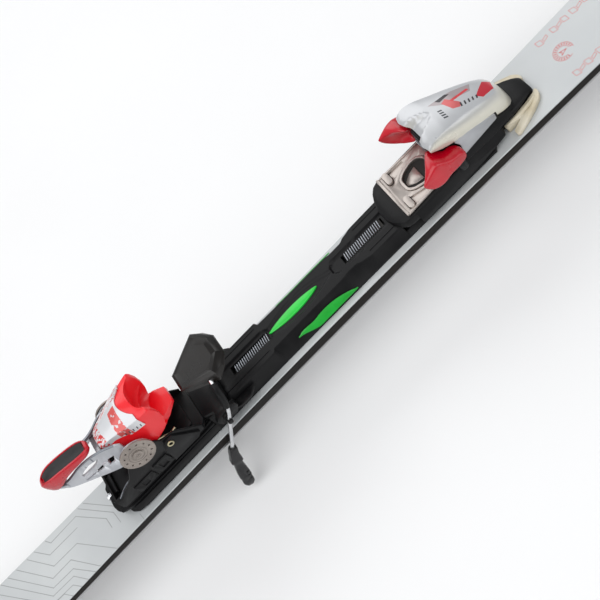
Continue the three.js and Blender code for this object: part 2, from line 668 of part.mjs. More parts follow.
function makeLeverFrame() {
  const hub = rodY(heelPivot.x, -leverHub.outer, -leverHub.inner, heelPivot.z, leverHub.radius, 28);
  const arm = leverArm();
  const window = (x0, x1, z0, z1) => block(x0, x1, -40, -14, deck + z0, deck + z1);
  const lowerWindow = sidePlate([[-240, deck + 75.6], [-226, deck + 71.6], [-226, deck + 75.6],
    [-240, deck + 79]], -40, -8);
  const side = cut(join(hub, arm), window(-209, -203, 68.6, 77), window(-222, -213, 71, 78.6), lowerWindow);
  const bridge = block(-208, -202, -24, 24, deck + 70, deck + 76.6);
  const rearEnd = slab([[-262, -7], [-264, 0], [-262, 7], [-248, 12], [-246, 0], [-248, -12]],
    deck + 78, deck + 84);
  const frame = join(side, mirrored(side), bridge, rearEnd);
  return cut(frame, rodY(heelPivot.x, -40, 40, heelPivot.z, 4.2, 20));
}

// Rows of the grip: place, half width, lowest and highest point above the deck.
const gripRows = [
  [-206.4, 6.4, 80, 87.6], [-212, 9.4, 81, 90], [-224, 10.8, 83.4, 94], [-238, 10.8, 84.6, 97.6],
  [-250, 9.4, 85, 99], [-258, 6.6, 85.4, 98.4], [-262, 3.4, 86.4, 96.4],
];

function makeGrip() {
  const body = loft(gripRows.map(([x, half, low, high]) => [
    [x, 0.6 - half, deck + low], [x, half - 0.6, deck + low], [x, half, deck + low + 2],
    [x, half - 0.6, deck + high], [x, 0.6 - half, deck + high], [x, -half, deck + low + 2],
  ]));
  const seat = loft(gripRows.slice(1, -1).map(([x, half, , high]) => [
    [x, 2.2 - half, deck + high - 2], [x, half - 2.2, deck + high - 2],
    [x, half - 2.2, deck + high + 8], [x, 2.2 - half, deck + high + 8],
  ]));
  return cut(body, seat);
}

function makePad() {
  return loft(gripRows.slice(1, -1).map(([x, half, , high], i, rows) => {
    const end = i === 0 ? -0.4 : (i === rows.length - 1 ? 0.4 : 0);
    const wide = half - 2.6;
    return [[x + end, -wide, deck + high - 1.6], [x + end, wide, deck + high - 1.6],
      [x + end, wide, deck + high - 0.4], [x + end, 0, deck + high - 1], [x + end, -wide, deck + high - 0.4]];
  }));
}

function makeDisc() {
  const body = rodY(heelPivot.x, -disc.outer, -disc.inner, heelPivot.z, disc.radius, 36);
  const holes = Array.from({ length: disc.holes }, (_, i) => {
    const angle = 2 * Math.PI * i / disc.holes + 0.4;
    return rodY(heelPivot.x + disc.holeCircle * Math.cos(angle), -40, -20,
      heelPivot.z + disc.holeCircle * Math.sin(angle), disc.hole, 8);
  });
  const centre = rodY(heelPivot.x, -40, -20, heelPivot.z, 4.3, 20);
  return cut(body, ...holes, centre);
}

function makeHeel() {
  const part = group();
  piece(part, 'heel_track', makeHeelTrack(), blackPlastic);
  piece(part, 'heel_carriage', makeHeelCarriage(), blackPlastic);
  piece(part, 'pressure_screw', join(rodX(-246, -216, 0, deck + 14, 4, 16),
    cut(rodX(-249, -245, 0, deck + 14, 4.6, 16), block(-250, -247.6, -0.8, 0.8, deck, deck + 30))), steel);
  piece(part, 'heel_axle', rodY(heelPivot.x, -28.4, 28.4, heelPivot.z, 3.8, 20), steel);
  pair(part, 'pivot_disc', makeDisc(), bronze);
  pair(part, 'disc_screw', join(rodY(heelPivot.x, -31.6, -30.7, heelPivot.z, 6, 20),
    rodY(heelPivot.x, -31, -28.7, heelPivot.z, 3.9, 20)), bronze);
  pair(part, 'ring_pin', cut(rodY(-154.5, -30, -29.1, deck + 41.4, 3.6, 20),
    rodY(-154.5, -31, -29.5, deck + 41.4, 1.8, 12)), brass);
  piece(part, 'heel_strap', block(-168, -134, -15, 15, deck + 22.2, deck + 23), brass);
  piece(part, 'heel_housing', makeHeelHousing(), red);
  piece(part, 'heel_panel', makeHeelPanel(), pearlWhite);
  piece(part, 'heel_piston', rodX(-163, -159, 0, heelAxis, 6.6, 20), steel);
  piece(part, 'heel_spring', coilSpring([-189, heelAxis], [-165, heelAxis], 5.2, 5, 1), steel);
  piece(part, 'heel_din_screw', makeDinScrew(-198.4, -191, heelAxis, -1), brass);
  piece(part, 'lever_frame', makeLeverFrame(), leverGrey);
  piece(part, 'lever_grip', makeGrip(), red);
  piece(part, 'lever_pad', makePad(), blackPlastic);
}

// ---------- Ski brake ----------
function makeBrakeBase() {
  const top = slab([[-121.4, -19], [-106, -24], [-96, -24], [-91, -18], [-91, 18], [-96, 24], [-106, 24],
    [-121.4, 19]], deck + 17.6, deck + 22);
  const wing = (y0, y1) => sidePlate([
    [-112, deck + 9], [-94, deck + 9], [-88, deck + 16], [-88, deck + 22], [-110, deck + 22],
    [-114, deck + 18],
  ], y0, y1);
  const arch = (y0, y1) => block(-110, -93, y0, y1, deck + 17.8, deck + 22);
  const stub = (y0, y1) => rodY(brakePivot.x, y0, y1, brakePivot.z, 2.6, 16);
  const body = join(top, wing(-33.4, -28), wing(28, 33.4), arch(-30, -20), arch(20, 30));
  return join(body, stub(-42.4, -32), stub(32, 42.4));
}

function makeBrakePedal() {
  const tilt = 5;
  const outline = [[-112, -11], [-74, -28], [-66, -28], [-57.4, -12], [-57.4, 12], [-66, 28], [-74, 28],
    [-112, 11]];
  const inner = outline.map(([x, y]) => [lerp(-84, x, 0.8), y * 0.8]);
  const ring = (points, z) => points.map(([x, y]) => [x, y, deck + z]);
  const body = loft([ring(outline, 57.4), ring(outline, 60), ring(inner, 64)]);
  const hollow = loft([
    ring(outline.map(([x, y]) => [lerp(-84, x, 0.93), y * 0.9]), 50),
    ring(outline.map(([x, y]) => [lerp(-84, x, 0.93), y * 0.9]), 58.4),
    ring(outline.map(([x, y]) => [lerp(-84, x, 0.74), y * 0.74]), 61.4),
  ]);
  const journal = rodY(crankPin.x, -40, 40, crankPin.z, wire.radius + GAP, 16);
  return cut(rotated(cut(body, hollow), -tilt, -84, deck + 60), journal);
}

// The wire of the right brake arm: from its plastic tip up past the pivot to the crank pin.
const armWire = [
  [-130.5, -39.5, deck - 21], [-118, -39, deck - 4], [-104, -38.7, deck + 15], [-96, -38.5, deck + 26],
  [-90, -36, deck + 38], [-86, -31, deck + 50], [crankPin.x, -24, crankPin.z], [crankPin.x, -15, crankPin.z],
  [crankPin.x, -4, crankPin.z],
];

function makeBrakeArm() {
  const hub = rodY(brakePivot.x, -41.6, -34, brakePivot.z, 5.4, 20);
  const hole = rodY(brakePivot.x, -50, -30, brakePivot.z, 2.9, 16);
  return cut(join(hub, bentWire(armWire, wire.radius, 36)), hole);
}

function makeBrakeTip() {
  // Each row: place, distance from the middle, height, half size along and across.
  const rows = [
    [-126.6, 39.4, -16, 4, 4], [-131.4, 39.8, -23, 5, 4.6], [-135, 40.6, -30, 6.6, 4.6],
    [-137.6, 41.4, -36, 4.4, 4.4], [-141, 42.4, -45, 5.6, 4.6], [-145, 43.6, -56, 6.4, 4.6],
    [-148.6, 44.6, -65, 6, 4.4], [-151, 45.2, -71.4, 3.6, 3.4],
  ];
  const body = loft(rows.map(([x, y, z, along, across]) => {
    const dx = along * Math.cos(0.45);
    const dz = along * Math.sin(0.45);
    return [[x - dx, -y - across, deck + z + dz], [x + dx, -y - across, deck + z - dz],
      [x + dx, across - y, deck + z - dz], [x - dx, across - y, deck + z + dz]];
  }));
  return cut(body, bentWire(armWire.slice(0, 3), wire.radius + GAP, 10));
}

function makeBrake() {
  const part = group();
  piece(part, 'brake_base', makeBrakeBase(), blackPlastic);
  piece(part, 'brake_pedal', makeBrakePedal(), brownBlack);
  pair(part, 'brake_arm', makeBrakeArm(), steel);
  pair(part, 'brake_tip', makeBrakeTip(), blackPlastic);
}

makeSki();
makePlate();
makeToe();
makeHeel();
makeBrake();

export default object;
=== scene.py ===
"""Alpine ski with its binding: the finished looks around the CAD frame.

Lengths are in millimetres in (x, y, h), with h the height above the ski's deck, until metres()
turns them into the CAD frame: +X to the ski's tip, +Y to the left, +Z up.
"""

import math

import bmesh
import bpy
from mathutils import Matrix, Vector


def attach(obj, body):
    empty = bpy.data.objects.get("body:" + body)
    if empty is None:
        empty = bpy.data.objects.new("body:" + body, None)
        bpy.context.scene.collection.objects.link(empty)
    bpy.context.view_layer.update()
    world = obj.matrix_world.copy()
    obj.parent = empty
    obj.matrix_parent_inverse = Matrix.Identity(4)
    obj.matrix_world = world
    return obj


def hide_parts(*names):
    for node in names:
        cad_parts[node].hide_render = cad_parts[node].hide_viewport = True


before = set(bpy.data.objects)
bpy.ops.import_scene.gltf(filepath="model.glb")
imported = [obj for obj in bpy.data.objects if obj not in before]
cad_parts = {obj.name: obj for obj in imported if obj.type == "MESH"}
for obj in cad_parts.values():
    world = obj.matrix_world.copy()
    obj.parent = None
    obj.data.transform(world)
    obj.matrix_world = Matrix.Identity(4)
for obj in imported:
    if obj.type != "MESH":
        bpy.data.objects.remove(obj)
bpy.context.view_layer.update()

DECK = 13.6
COAT_ROUGHNESS, PEARL_COAT_ROUGHNESS = 0.08, 0.2
GRAIN_DEPTH = 0.0002
# Painted light: the cream painted on the toe cover's faces that look sideways
PAINTED_SIDE_LIGHT = (0.68, 0.66, 0.57)


def metres(point):
    x, y, h = point
    return Vector((x / 1000, y / 1000, (h + DECK) / 1000))


# ---------- Materials ----------
def node(tree, kind, **values):
    made = tree.nodes.new(kind)
    for name, value in values.items():
        if name in made.inputs.keys():
            made.inputs[name].default_value = value
        else:
            setattr(made, name, value)
    return made


def base_material(name):
    material = bpy.data.materials.new(name)
    material.use_nodes = True
    tree = material.node_tree
    shader = tree.nodes["Principled BSDF"]
    place = node(tree, "ShaderNodeTexCoord")
    return material, tree, shader, place.outputs["Object"]


def noise(tree, place, scale, detail=3.0, stretch=(1, 1, 1)):
    mapping = node(tree, "ShaderNodeMapping")
    mapping.inputs["Scale"].default_value = stretch
    tree.links.new(place, mapping.inputs["Vector"])
    made = node(tree, "ShaderNodeTexNoise", Scale=scale, Detail=detail)
    tree.links.new(mapping.outputs["Vector"], made.inputs["Vector"])
    return made.outputs["Fac"]


def mixed(tree, factor, first, second):
    made = node(tree, "ShaderNodeMix", data_type="RGBA")
    for socket, value in (("A", first), ("B", second)):
        target = [s for s in made.inputs if s.name == socket and s.type == "RGBA"][0]
        if isinstance(value, tuple):
            target.default_value = (*value, 1)
        else:
            tree.links.new(value, target)
    tree.links.new(factor, made.inputs["Factor"])
    return [s for s in made.outputs if s.type == "RGBA"][0]


def ranged(tree, value, low, high, from_low=0.3, from_high=0.7):
    made = node(tree, "ShaderNodeMapRange")
    made.inputs["From Min"].default_value = from_low
    made.inputs["From Max"].default_value = from_high
    made.inputs["To Min"].default_value = low
    made.inputs["To Max"].default_value = high
    tree.links.new(value, made.inputs["Value"])
    return made.outputs["Result"]


def surface(name, dark, light, rough=(0.3, 0.45), metal=0.0, coat=0.0, grain=(900, 0.08),
            blotch=18, stretch=(1, 1, 1), shine=0.5):
    """A surface whose colour and gloss drift between two values, with a fine grain."""
    material, tree, shader, place = base_material(name)
    drift = noise(tree, place, blotch, 4, stretch)
    colour = mixed(tree, ranged(tree, drift, 0, 1), dark, light)
    tree.links.new(colour, shader.inputs["Base Color"])
    tree.links.new(ranged(tree, drift, *rough), shader.inputs["Roughness"])
    shader.inputs["Metallic"].default_value = metal
    shader.inputs["Specular IOR Level"].default_value = shine
    shader.inputs["Coat Weight"].default_value = coat
    shader.inputs["Coat Roughness"].default_value = COAT_ROUGHNESS
    fine = noise(tree, place, grain[0], 2, stretch)
    bump = node(tree, "ShaderNodeBump", Strength=grain[1], Distance=GRAIN_DEPTH)
    tree.links.new(fine, bump.inputs["Height"])
    tree.links.new(bump.outputs["Normal"], shader.inputs["Normal"])
    return material


def repaint(material, inside, colour):
    """Paints colour where the mask socket inside is 1."""
    tree = material.node_tree
    shader = tree.nodes["Principled BSDF"]
    before = shader.inputs["Base Color"].links[0].from_socket
    tree.links.new(mixed(tree, inside, before, colour), shader.inputs["Base Color"])


def product(tree, first, second):
    made = node(tree, "ShaderNodeMath", operation="MULTIPLY")
    tree.links.new(first, made.inputs[0])
    tree.links.new(second, made.inputs[1])
    return made.outputs[0]


def beyond(tree, value, limit):
    """1 where a value is greater than a limit, and 0 elsewhere."""
    made = node(tree, "ShaderNodeMath", operation="GREATER_THAN")
    made.inputs[1].default_value = limit
    tree.links.new(value, made.inputs[0])
    return made.outputs[0]


def polygon_mask(material, corners, axes=(0, 1)):
    """1 inside a convex outline given in two of the frame's axes, in millimetres (x, y or h)."""
    tree = material.node_tree
    place = node(tree, "ShaderNodeTexCoord").outputs["Object"]
    middle = [sum(c[k] for c in corners) / len(corners) for k in (0, 1)]
    inside = None
    for (u0, v0), (u1, v1) in zip(corners, corners[1:] + corners[:1]):
        across = (v0 - v1, u1 - u0)
        if across[0] * (middle[0] - u0) + across[1] * (middle[1] - v0) < 0:
            across = (-across[0], -across[1])
        direction = [0.0, 0.0, 0.0]
        direction[axes[0]], direction[axes[1]] = across
        dot = node(tree, "ShaderNodeVectorMath", operation="DOT_PRODUCT")
        dot.inputs[1].default_value = direction
        tree.links.new(place, dot.inputs[0])
        up = [DECK if axis == 2 else 0 for axis in axes]
        limit = (across[0] * (u0 + up[0]) + across[1] * (v0 + up[1])) / 1000
        within = beyond(tree, dot.outputs["Value"], limit)
        inside = within if inside is None else product(tree, inside, within)
    return inside


def splatter(material, inside, scale, threshold):
    """The part of a mask where a coarse noise is above a threshold."""
    tree = material.node_tree
    place = node(tree, "ShaderNodeTexCoord").outputs["Object"]
    return product(tree, inside, beyond(tree, noise(tree, place, scale, 6), threshold))


def pearl(name):
    """Pearl lacquer in a cool grey, with painted light: faces that look sideways are painted cream, faces
    that look up keep the cool grey.
    """
    material = surface(name, (0.52, 0.53, 0.54), (0.62, 0.63, 0.65), (0.26, 0.34), 0.3, 0.35, (1500, 0.015))
    tree = material.node_tree
    tree.nodes["Principled BSDF"].inputs["Coat Roughness"].default_value = PEARL_COAT_ROUGHNESS
    facing = node(tree, "ShaderNodeSeparateXYZ")
    tree.links.new(node(tree, "ShaderNodeTexCoord").outputs["Normal"], facing.inputs[0])
    # painted light: faces that look sideways are painted cream
    repaint(material, ranged(tree, facing.outputs["Z"], 1, 0, 0.25, 0.75), PAINTED_SIDE_LIGHT)
    return material


SHEET = surface("sheet_pearl", (0.5, 0.52, 0.53), (0.62, 0.64, 0.64), (0.3, 0.42), 0.05, 0.35,
                (2500, 0.04), 7)
SIDEWALL = surface("sidewall_black", (0.005, 0.004, 0.0035), (0.012, 0.009, 0.007), (0.4, 0.6), 0, 0,
                   (600, 0.12), 30, (0.2, 1, 1), 0.2)
BASE = surface("base_black", (0.008, 0.008, 0.009), (0.02, 0.02, 0.022), (0.3, 0.45), 0, 0, (700, 0.2),
               20, (0.08, 1, 1))
EDGE = surface("edge_steel", (0.32, 0.32, 0.33), (0.5, 0.5, 0.51), (0.25, 0.45), 1, 0, (900, 0.2), 40,
               (0.1, 1, 1))
WOOD = surface("core_wood", (0.35, 0.2, 0.09), (0.6, 0.4, 0.2), (0.5, 0.7), 0, 0, (300, 0.3), 25,
               (0.05, 1, 1))
BLACK = surface("black_plastic", (0.004, 0.004, 0.0045), (0.009, 0.009, 0.0095), (0.34, 0.52), 0, 0,
                (1400, 0.2), 45, shine=0.22)
GLOSS_BLACK = surface("black_moulded", (0.007, 0.007, 0.008), (0.016, 0.016, 0.017), (0.22, 0.38), 0, 0,
                      (1600, 0.12), 60, shine=0.45)
BROWN_BLACK = surface("pedal_plastic", (0.003, 0.002, 0.0016), (0.008, 0.006, 0.0045), (0.24, 0.36), 0, 0,
                      (1700, 0.14), 60, shine=0.4)
RUBBER = surface("rubber_black", (0.008, 0.008, 0.009), (0.026, 0.026, 0.027), (0.42, 0.6), 0, 0,
                 (2200, 0.35), 90, shine=0.4)
RED = surface("red_gloss", (0.45, 0.0, 0.01), (0.6, 0.002, 0.016), (0.22, 0.34), 0, 0.4, (1500, 0.05), 25)
BRIGHT_RED = surface("red_bright", (0.8, 0.0, 0.008), (0.95, 0.012, 0.02), (0.28, 0.4), 0, 0.25,
                     (1500, 0.05), 25)
GREEN = surface("green_bright", (0.0, 0.5, 0.02), (0.01, 0.68, 0.06), (0.25, 0.4), 0, 0.3, (1800, 0.05), 40)
# A darker copy of the same green plastic: painted shade for the inlays on the plate's sloping sides
SHADED_GREEN = surface("green_painted_shade", (0.0, 0.3, 0.01), (0.0, 0.45, 0.03), (0.3, 0.45), 0, 0.2, (1800, 0.05),
                     40)
RIBS = surface("rack_steel", (0.3, 0.32, 0.35), (0.5, 0.52, 0.56), (0.25, 0.4), 1, 0, (900, 0.15), 60)
NICKEL = surface("satin_nickel", (0.44, 0.39, 0.36), (0.58, 0.53, 0.49), (0.3, 0.45), 0.85, 0,
                 (2600, 0.25), 60)
STEEL = surface("bright_steel", (0.55, 0.56, 0.58), (0.72, 0.73, 0.74), (0.18, 0.32), 1, 0, (900, 0.1), 60)
BRONZE = surface("disc_bronze", (0.27, 0.235, 0.21), (0.38, 0.335, 0.3), (0.38, 0.5), 0.6, 0, (2600, 0.2),
                 50)
BRASS = surface("plated_brass", (0.45, 0.4, 0.24), (0.65, 0.6, 0.42), (0.25, 0.4), 0.9, 0, (1500, 0.15), 60)
IVORY = surface("ivory_plastic", (0.62, 0.54, 0.38), (0.8, 0.74, 0.6), (0.35, 0.5), 0, 0.1, (900, 0.2), 70)
SILVER = surface("silver_plastic", (0.4, 0.41, 0.43), (0.5, 0.51, 0.53), (0.35, 0.45), 0.3, 0.1,
                 (2600, 0.25), 50)
LEVER = surface("lever_silver", (0.42, 0.44, 0.47), (0.56, 0.57, 0.6), (0.25, 0.38), 0.45, 0.3,
                (1700, 0.1), 40)
LEVER_DARK = surface("lever_chamfer", (0.16, 0.17, 0.19), (0.25, 0.27, 0.3), (0.25, 0.38), 0.5, 0.3,
                     (1700, 0.1), 40)
LINE_GREY = surface("print_grey", (0.3, 0.31, 0.31), (0.38, 0.39, 0.39), (0.4, 0.5), 0, 0.2, (900, 0.05),
                    20)
LINE_RED = surface("print_red", (0.62, 0.06, 0.05), (0.74, 0.1, 0.08), (0.4, 0.5), 0, 0.2, (900, 0.05), 20)
HOLE_DARK = surface("hole_dark", (0.01, 0.009, 0.008), (0.02, 0.018, 0.016), (0.6, 0.8), 0, 0, (900, 0.1),
                    20)
PEARL = pearl("pearl_white")
LABEL = surface("label_white", (0.66, 0.67, 0.69), (0.76, 0.77, 0.79), (0.25, 0.36), 0.1, 0.6,
                (1500, 0.04), 20)


# ---------- Geometry ----------
def lerp(a, b, t):
    return a + (b - a) * t


def placed(name, data):
    obj = bpy.data.objects.new(name, data)
    bpy.context.scene.collection.objects.link(obj)
    return obj


def made_object(name, points, faces):
    mesh = bpy.data.meshes.new(name)
    mesh.from_pydata([metres(p) for p in points], [], faces)
    body = bmesh.new()
    body.from_mesh(mesh)
    bmesh.ops.remove_doubles(body, verts=body.verts, dist=1e-7)
    bmesh.ops.recalc_face_normals(body, faces=body.faces)
    body.to_mesh(mesh)
    body.free()
    return placed(name, mesh)


def loft(name, rings):
    """A closed body through rings of equally many points."""
    count = len(rings[0])
    points = [p for ring in rings for p in ring]
    faces = [tuple(range(count))[::-1], tuple(range(len(points) - count, len(points)))]
    for row in range(len(rings) - 1):
        for i in range(count):
            j = (i + 1) % count
            a = row * count
            faces.append((a + i, a + j, a + count + j, a + count + i))
    return made_object(name, points, faces)


def grid(name, rows):
    """An open sheet through rows of points."""
    count = len(rows[0])
    points = [p for row in rows for p in row]
    faces = [(r * count + i, r * count + i + 1, (r + 1) * count + i + 1, (r + 1) * count + i)
             for r in range(len(rows) - 1) for i in range(count - 1)]
    return made_object(name, points, faces)


def prism(name, outline, axis, low, high):
    """An outline in the two other axes, between two places along an axis (0, 1 or 2)."""
    def at(u, v, w):
        point = [u, v]
        point.insert(axis, w)
        return tuple(point)
    return loft(name, [[at(u, v, low) for u, v in outline], [at(u, v, high) for u, v in outline]])


def box(name, x0, x1, y0, y1, h0, h1):
    return prism(name, [(x0, y0), (x1, y0), (x1, y1), (x0, y1)], 2, h0, h1)


def round_outline(u, v, radius, count=32, start=0.0, turn=2 * math.pi):
    return [(u + radius * math.cos(start + turn * i / count), v + radius * math.sin(start + turn * i / count))
            for i in range(count)]


def rod(name, axis, centre, radius, low, high, count=32):
    return prism(name, round_outline(centre[0], centre[1], radius, count), axis, low, high)


def capsule(half_length, radius, count=10):
    right = [(radius * math.cos(a), half_length + radius * math.sin(a))
             for a in (math.pi * i / count for i in range(count + 1))]
    return right + [(-u, -v) for u, v in right]


def smooth_rows(rows, step):
    """Rows of numbers, the first one the place, filled in smoothly every step."""
    filled = []
    for i in range(len(rows) - 1):
        before, a, b, after = rows[max(i - 1, 0)], rows[i], rows[i + 1], rows[min(i + 2, len(rows) - 1)]
        span = b[0] - a[0]
        count = max(1, round(abs(span) / step))
        for k in range(count):
            t = k / count
            row = [a[0] + span * t]
            for j in range(1, len(a)):
                slope_a = (b[j] - before[j]) / (b[0] - before[0]) * span
                slope_b = (after[j] - a[j]) / (after[0] - a[0]) * span
                row.append((2 * t ** 3 - 3 * t ** 2 + 1) * a[j] + (t ** 3 - 2 * t ** 2 + t) * slope_a
                           + (3 * t ** 2 - 2 * t ** 3) * b[j] + (t ** 3 - t ** 2) * slope_b)
            filled.append(row)
    filled.append(list(rows[-1]))
    return filled


def tube(name, points, radius, sides=16, step=1.5):
    """A round wire that bends smoothly through points (x, y, h)."""
    lengths = [0.0]
    for a, b in zip(points, points[1:]):
        lengths.append(lengths[-1] + math.dist(a, b))
    path = [Vector(row[1:]) for row in smooth_rows([[s, *p] for s, p in zip(lengths, points)], step)]
    side = Vector((0.3, 1, 0.1)).normalized()
    rings = []
    for i, centre in enumerate(path):
        along = (path[min(i + 1, len(path) - 1)] - path[max(i - 1, 0)]).normalized()
        side = (side - along * side.dot(along)).normalized()
        up = along.cross(side)
        rings.append([tuple(centre + (side * math.cos(a) + up * math.sin(a)) * radius)
                      for a in (2 * math.pi * k / sides for k in range(sides))])
    return loft(name, rings)


def bake(obj):
    graph = bpy.context.evaluated_depsgraph_get()
    mesh = bpy.data.meshes.new_from_object(obj.evaluated_get(graph))
    obj.modifiers.clear()
    obj.data = mesh
    return obj


def combine(obj, operation, *tools):
    for tool in tools:
        modifier = obj.modifiers.new("combine", "BOOLEAN")
        modifier.operation = operation
        modifier.solver = "EXACT"
        modifier.object = tool
    bake(obj)
    for tool in tools:
        bpy.data.objects.remove(tool)
    return obj


def cut(obj, *tools):
    return combine(obj, "DIFFERENCE", *tools)


def join(obj, *tools):
    return combine(obj, "UNION", *tools)


def merged(obj, *others):
    """Several loose bodies as one mesh."""
    if not others:
        return obj
    body = bmesh.new()
    for part in (obj, *others):
        body.from_mesh(part.data)
    body.to_mesh(obj.data)
    body.free()
    for part in others:
        bpy.data.objects.remove(part)
    return obj


def tidy(obj):
    """Merges flat neighbouring faces, so that a bevel follows the real edges."""
    body = bmesh.new()
    body.from_mesh(obj.data)
    bmesh.ops.remove_doubles(body, verts=body.verts, dist=2e-5)
    bmesh.ops.dissolve_limit(body, angle_limit=math.radians(1.5), verts=body.verts, edges=body.edges)
    body.to_mesh(obj.data)
    body.free()
    return obj


def round_edges(obj, width, segments, angle, harden=False):
    """Rounds the edges that are sharper than an angle in degrees."""
    modifier = obj.modifiers.new("bevel", "BEVEL")
    modifier.width = width / 1000
    modifier.segments = segments
    modifier.limit_method = "ANGLE"
    modifier.angle_limit = math.radians(angle)
    modifier.harden_normals = harden
    return bake(obj)


def bevel(obj, width, segments=3, angle=28):
    return round_edges(tidy(obj), width, segments, angle, harden=True)


def copy_of(name, cad_node):
    obj = placed(name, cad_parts[cad_node].data.copy())
    obj.data.materials.clear()
    return obj


def mirror_of(obj, name):
    mesh = obj.data.copy()
    mesh.transform(Matrix.Diagonal((1, -1, 1, 1)))
    mesh.flip_normals()
    return placed(name, mesh)


def show(obj, look, body, slot, *cad_nodes, sharp=38):
    """The finished piece: its material, the CAD body it moves with and the nodes it stands for."""
    if not obj.data.materials:
        obj.data.materials.append(look)
    obj.data.shade_smooth()
    obj.data.set_sharp_from_angle(angle=math.radians(sharp))
    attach(obj, body)
    if cad_nodes:
        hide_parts(*cad_nodes)
    return obj


def show_pair(obj, name, look, bodies, slot, cad_node, sharp=38):
    """A right piece and its mirror image on the left."""
    right, left = (bodies, bodies) if isinstance(bodies, str) else bodies
    other = mirror_of(obj, f"{name}_left_look")
    nodes = [[f"{cad_node}_right"], [f"{cad_node}_left"]] if cad_node else [[], []]
    show(obj, look, right, slot, *nodes[0], sharp=sharp)
    show(other, look, left, slot, *nodes[1], sharp=sharp)


def paint(cad_node, look, sharp=30):
    """A CAD piece shown as it is, with a finished material."""
    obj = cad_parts[cad_node]
    obj.data.materials.clear()
    obj.data.materials.append(look)
    obj.data.shade_smooth()
    obj.data.set_sharp_from_angle(angle=math.radians(sharp))


# ---------- Ski ----------
TAIL_WIDE, SHOVEL_WIDE, TAIL_LONG, SHOVEL_LONG = -640, 785, 56, 130
EDGE_WIDE, EDGE_HIGH, BASE_HIGH, LAMINATE, SHEET_HIGH, WALL = 2.1, 2.0, 1.4, 0.6, 0.9, 6
LAYER_GAP, INSET = 0.1, 0.02
WAIST_HALF, WAIST_PLACE, TWICE_SIDECUT = 34, 4, 28800
SHOVEL_ROUND, TAIL_ROUND = 0.4, 0.22


def half_width(x):
    along = min(max(x, TAIL_WIDE), SHOVEL_WIDE)
    wide = WAIST_HALF + (along - WAIST_PLACE) ** 2 / TWICE_SIDECUT
    if x > SHOVEL_WIDE:
        return wide * max(1 - ((x - SHOVEL_WIDE) / SHOVEL_LONG) ** 2, 0) ** SHOVEL_ROUND
    if x < TAIL_WIDE:
        return wide * max(1 - ((x - TAIL_WIDE) / TAIL_LONG) ** 2, 0) ** TAIL_ROUND
    return wide


def thickness(x):
    return 4.4 + 9.2 * math.exp(-(((x - 48) / 545) ** 2))


def on_ski(x, y, above):
    past = max(x - 760, 0) - max(-640 - x, 0)
    radius = 240 if past > 0 else 180
    angle = math.asin(past / radius)
    lift = radius * (1 - math.cos(angle))
    return (x - above * math.sin(angle), y, lift + above * math.cos(angle) - DECK)


def stations(start, end):
    rounded = [math.sin(math.radians(d)) for d in (6, 12, 18, 25, 32, 40, 48, 55, 62, 68, 74, 79, 84)]
    places = [TAIL_WIDE + i * (SHOVEL_WIDE - TAIL_WIDE) / 110 for i in range(111)]
    places += [TAIL_WIDE - s * TAIL_LONG for s in rounded] + [SHOVEL_WIDE + s * SHOVEL_LONG for s in rounded]
    return [start] + sorted(x for x in places if start + 0.5 < x < end - 0.5) + [end]


TAIL_END = TAIL_WIDE - math.sin(math.radians(84)) * TAIL_LONG
TIP_END = SHOVEL_WIDE + math.sin(math.radians(84)) * SHOVEL_LONG
CORE_REAR, CORE_FRONT = TAIL_WIDE - 8, SHOVEL_WIDE + 6


def strip(name, start, end, right, left, low, high, soft):
    """A layer of the ski; right, left, low and high are functions of x."""
    rings = []
    for x in stations(start, end):
        r, l, b, t = right(x), left(x), low(x), high(x)
        rings.append([on_ski(x, r, b), on_ski(x, l, b), on_ski(x, l, t - soft), on_ski(x, l - soft, t),
                      on_ski(x, r + soft, t), on_ski(x, r, t - soft)])
    return loft(name, rings)


def full_strip(name, start, end, inset, low, high, soft):
    return strip(name, start, end, lambda x: inset - half_width(x), lambda x: half_width(x) - inset,
                 low, high, soft)


def side_strip(name, start, end, inset, wide, low, high, soft=0.15):
    return strip(name, start, end, lambda x: inset - half_width(x), lambda x: inset + wide - half_width(x),
                 low, high, soft)


def core_low(x):
    return EDGE_HIGH + LAMINATE + 0.2


def core_high(x):
    return thickness(x) - SHEET_HIGH - LAMINATE - 0.2


def level(height):
    return lambda x: height


def below_top(depth):
    return lambda x: thickness(x) - depth


def make_ski():
    lower, upper = EDGE_HIGH + LAYER_GAP, SHEET_HIGH + LAYER_GAP
    layers = [
        # name, look, slot, ends, inset from the outline, lower and upper face, softened edge
        ("top_sheet", SHEET, "top_sheet", TAIL_END, TIP_END, 0, below_top(SHEET_HIGH), thickness, 0.5),
        ("running_base", BASE, "running_base", TAIL_END, TIP_END, EDGE_WIDE + 0.1, level(0),
         level(BASE_HIGH), 0.25),
        ("lower_laminate", SIDEWALL, "black_composite", TAIL_END, TIP_END, INSET, level(lower),
         level(lower + LAMINATE), 0.05),
        ("upper_laminate", SIDEWALL, "black_composite", TAIL_END, TIP_END, INSET,
         below_top(upper + LAMINATE), below_top(upper), 0.05),
        ("tail_spacer", SIDEWALL, "black_composite", TAIL_END, CORE_REAR - LAYER_GAP, INSET, core_low,
         core_high, 0.25),
        ("tip_spacer", SIDEWALL, "black_composite", CORE_FRONT + LAYER_GAP, TIP_END, INSET, core_low,
         core_high, 0.25),
    ]
    for name, look, slot, start, end, inset, low, high, soft in layers:
        layer = full_strip(f"{name}_look", start, end, inset, low, high, soft)
        show(layer, look, "ski", slot, name)
    edge = side_strip("steel_edge_right_look", TAIL_END, TIP_END, 0, EDGE_WIDE, level(0), level(EDGE_HIGH))
    show_pair(edge, "steel_edge", EDGE, "ski", "edge_steel", "steel_edge")
    wall = side_strip("sidewall_right_look", CORE_REAR, CORE_FRONT, 0, WALL, core_low, core_high)
    show_pair(wall, "sidewall", SIDEWALL, "ski", "black_composite", "sidewall")
    paint("wood_core", WOOD)


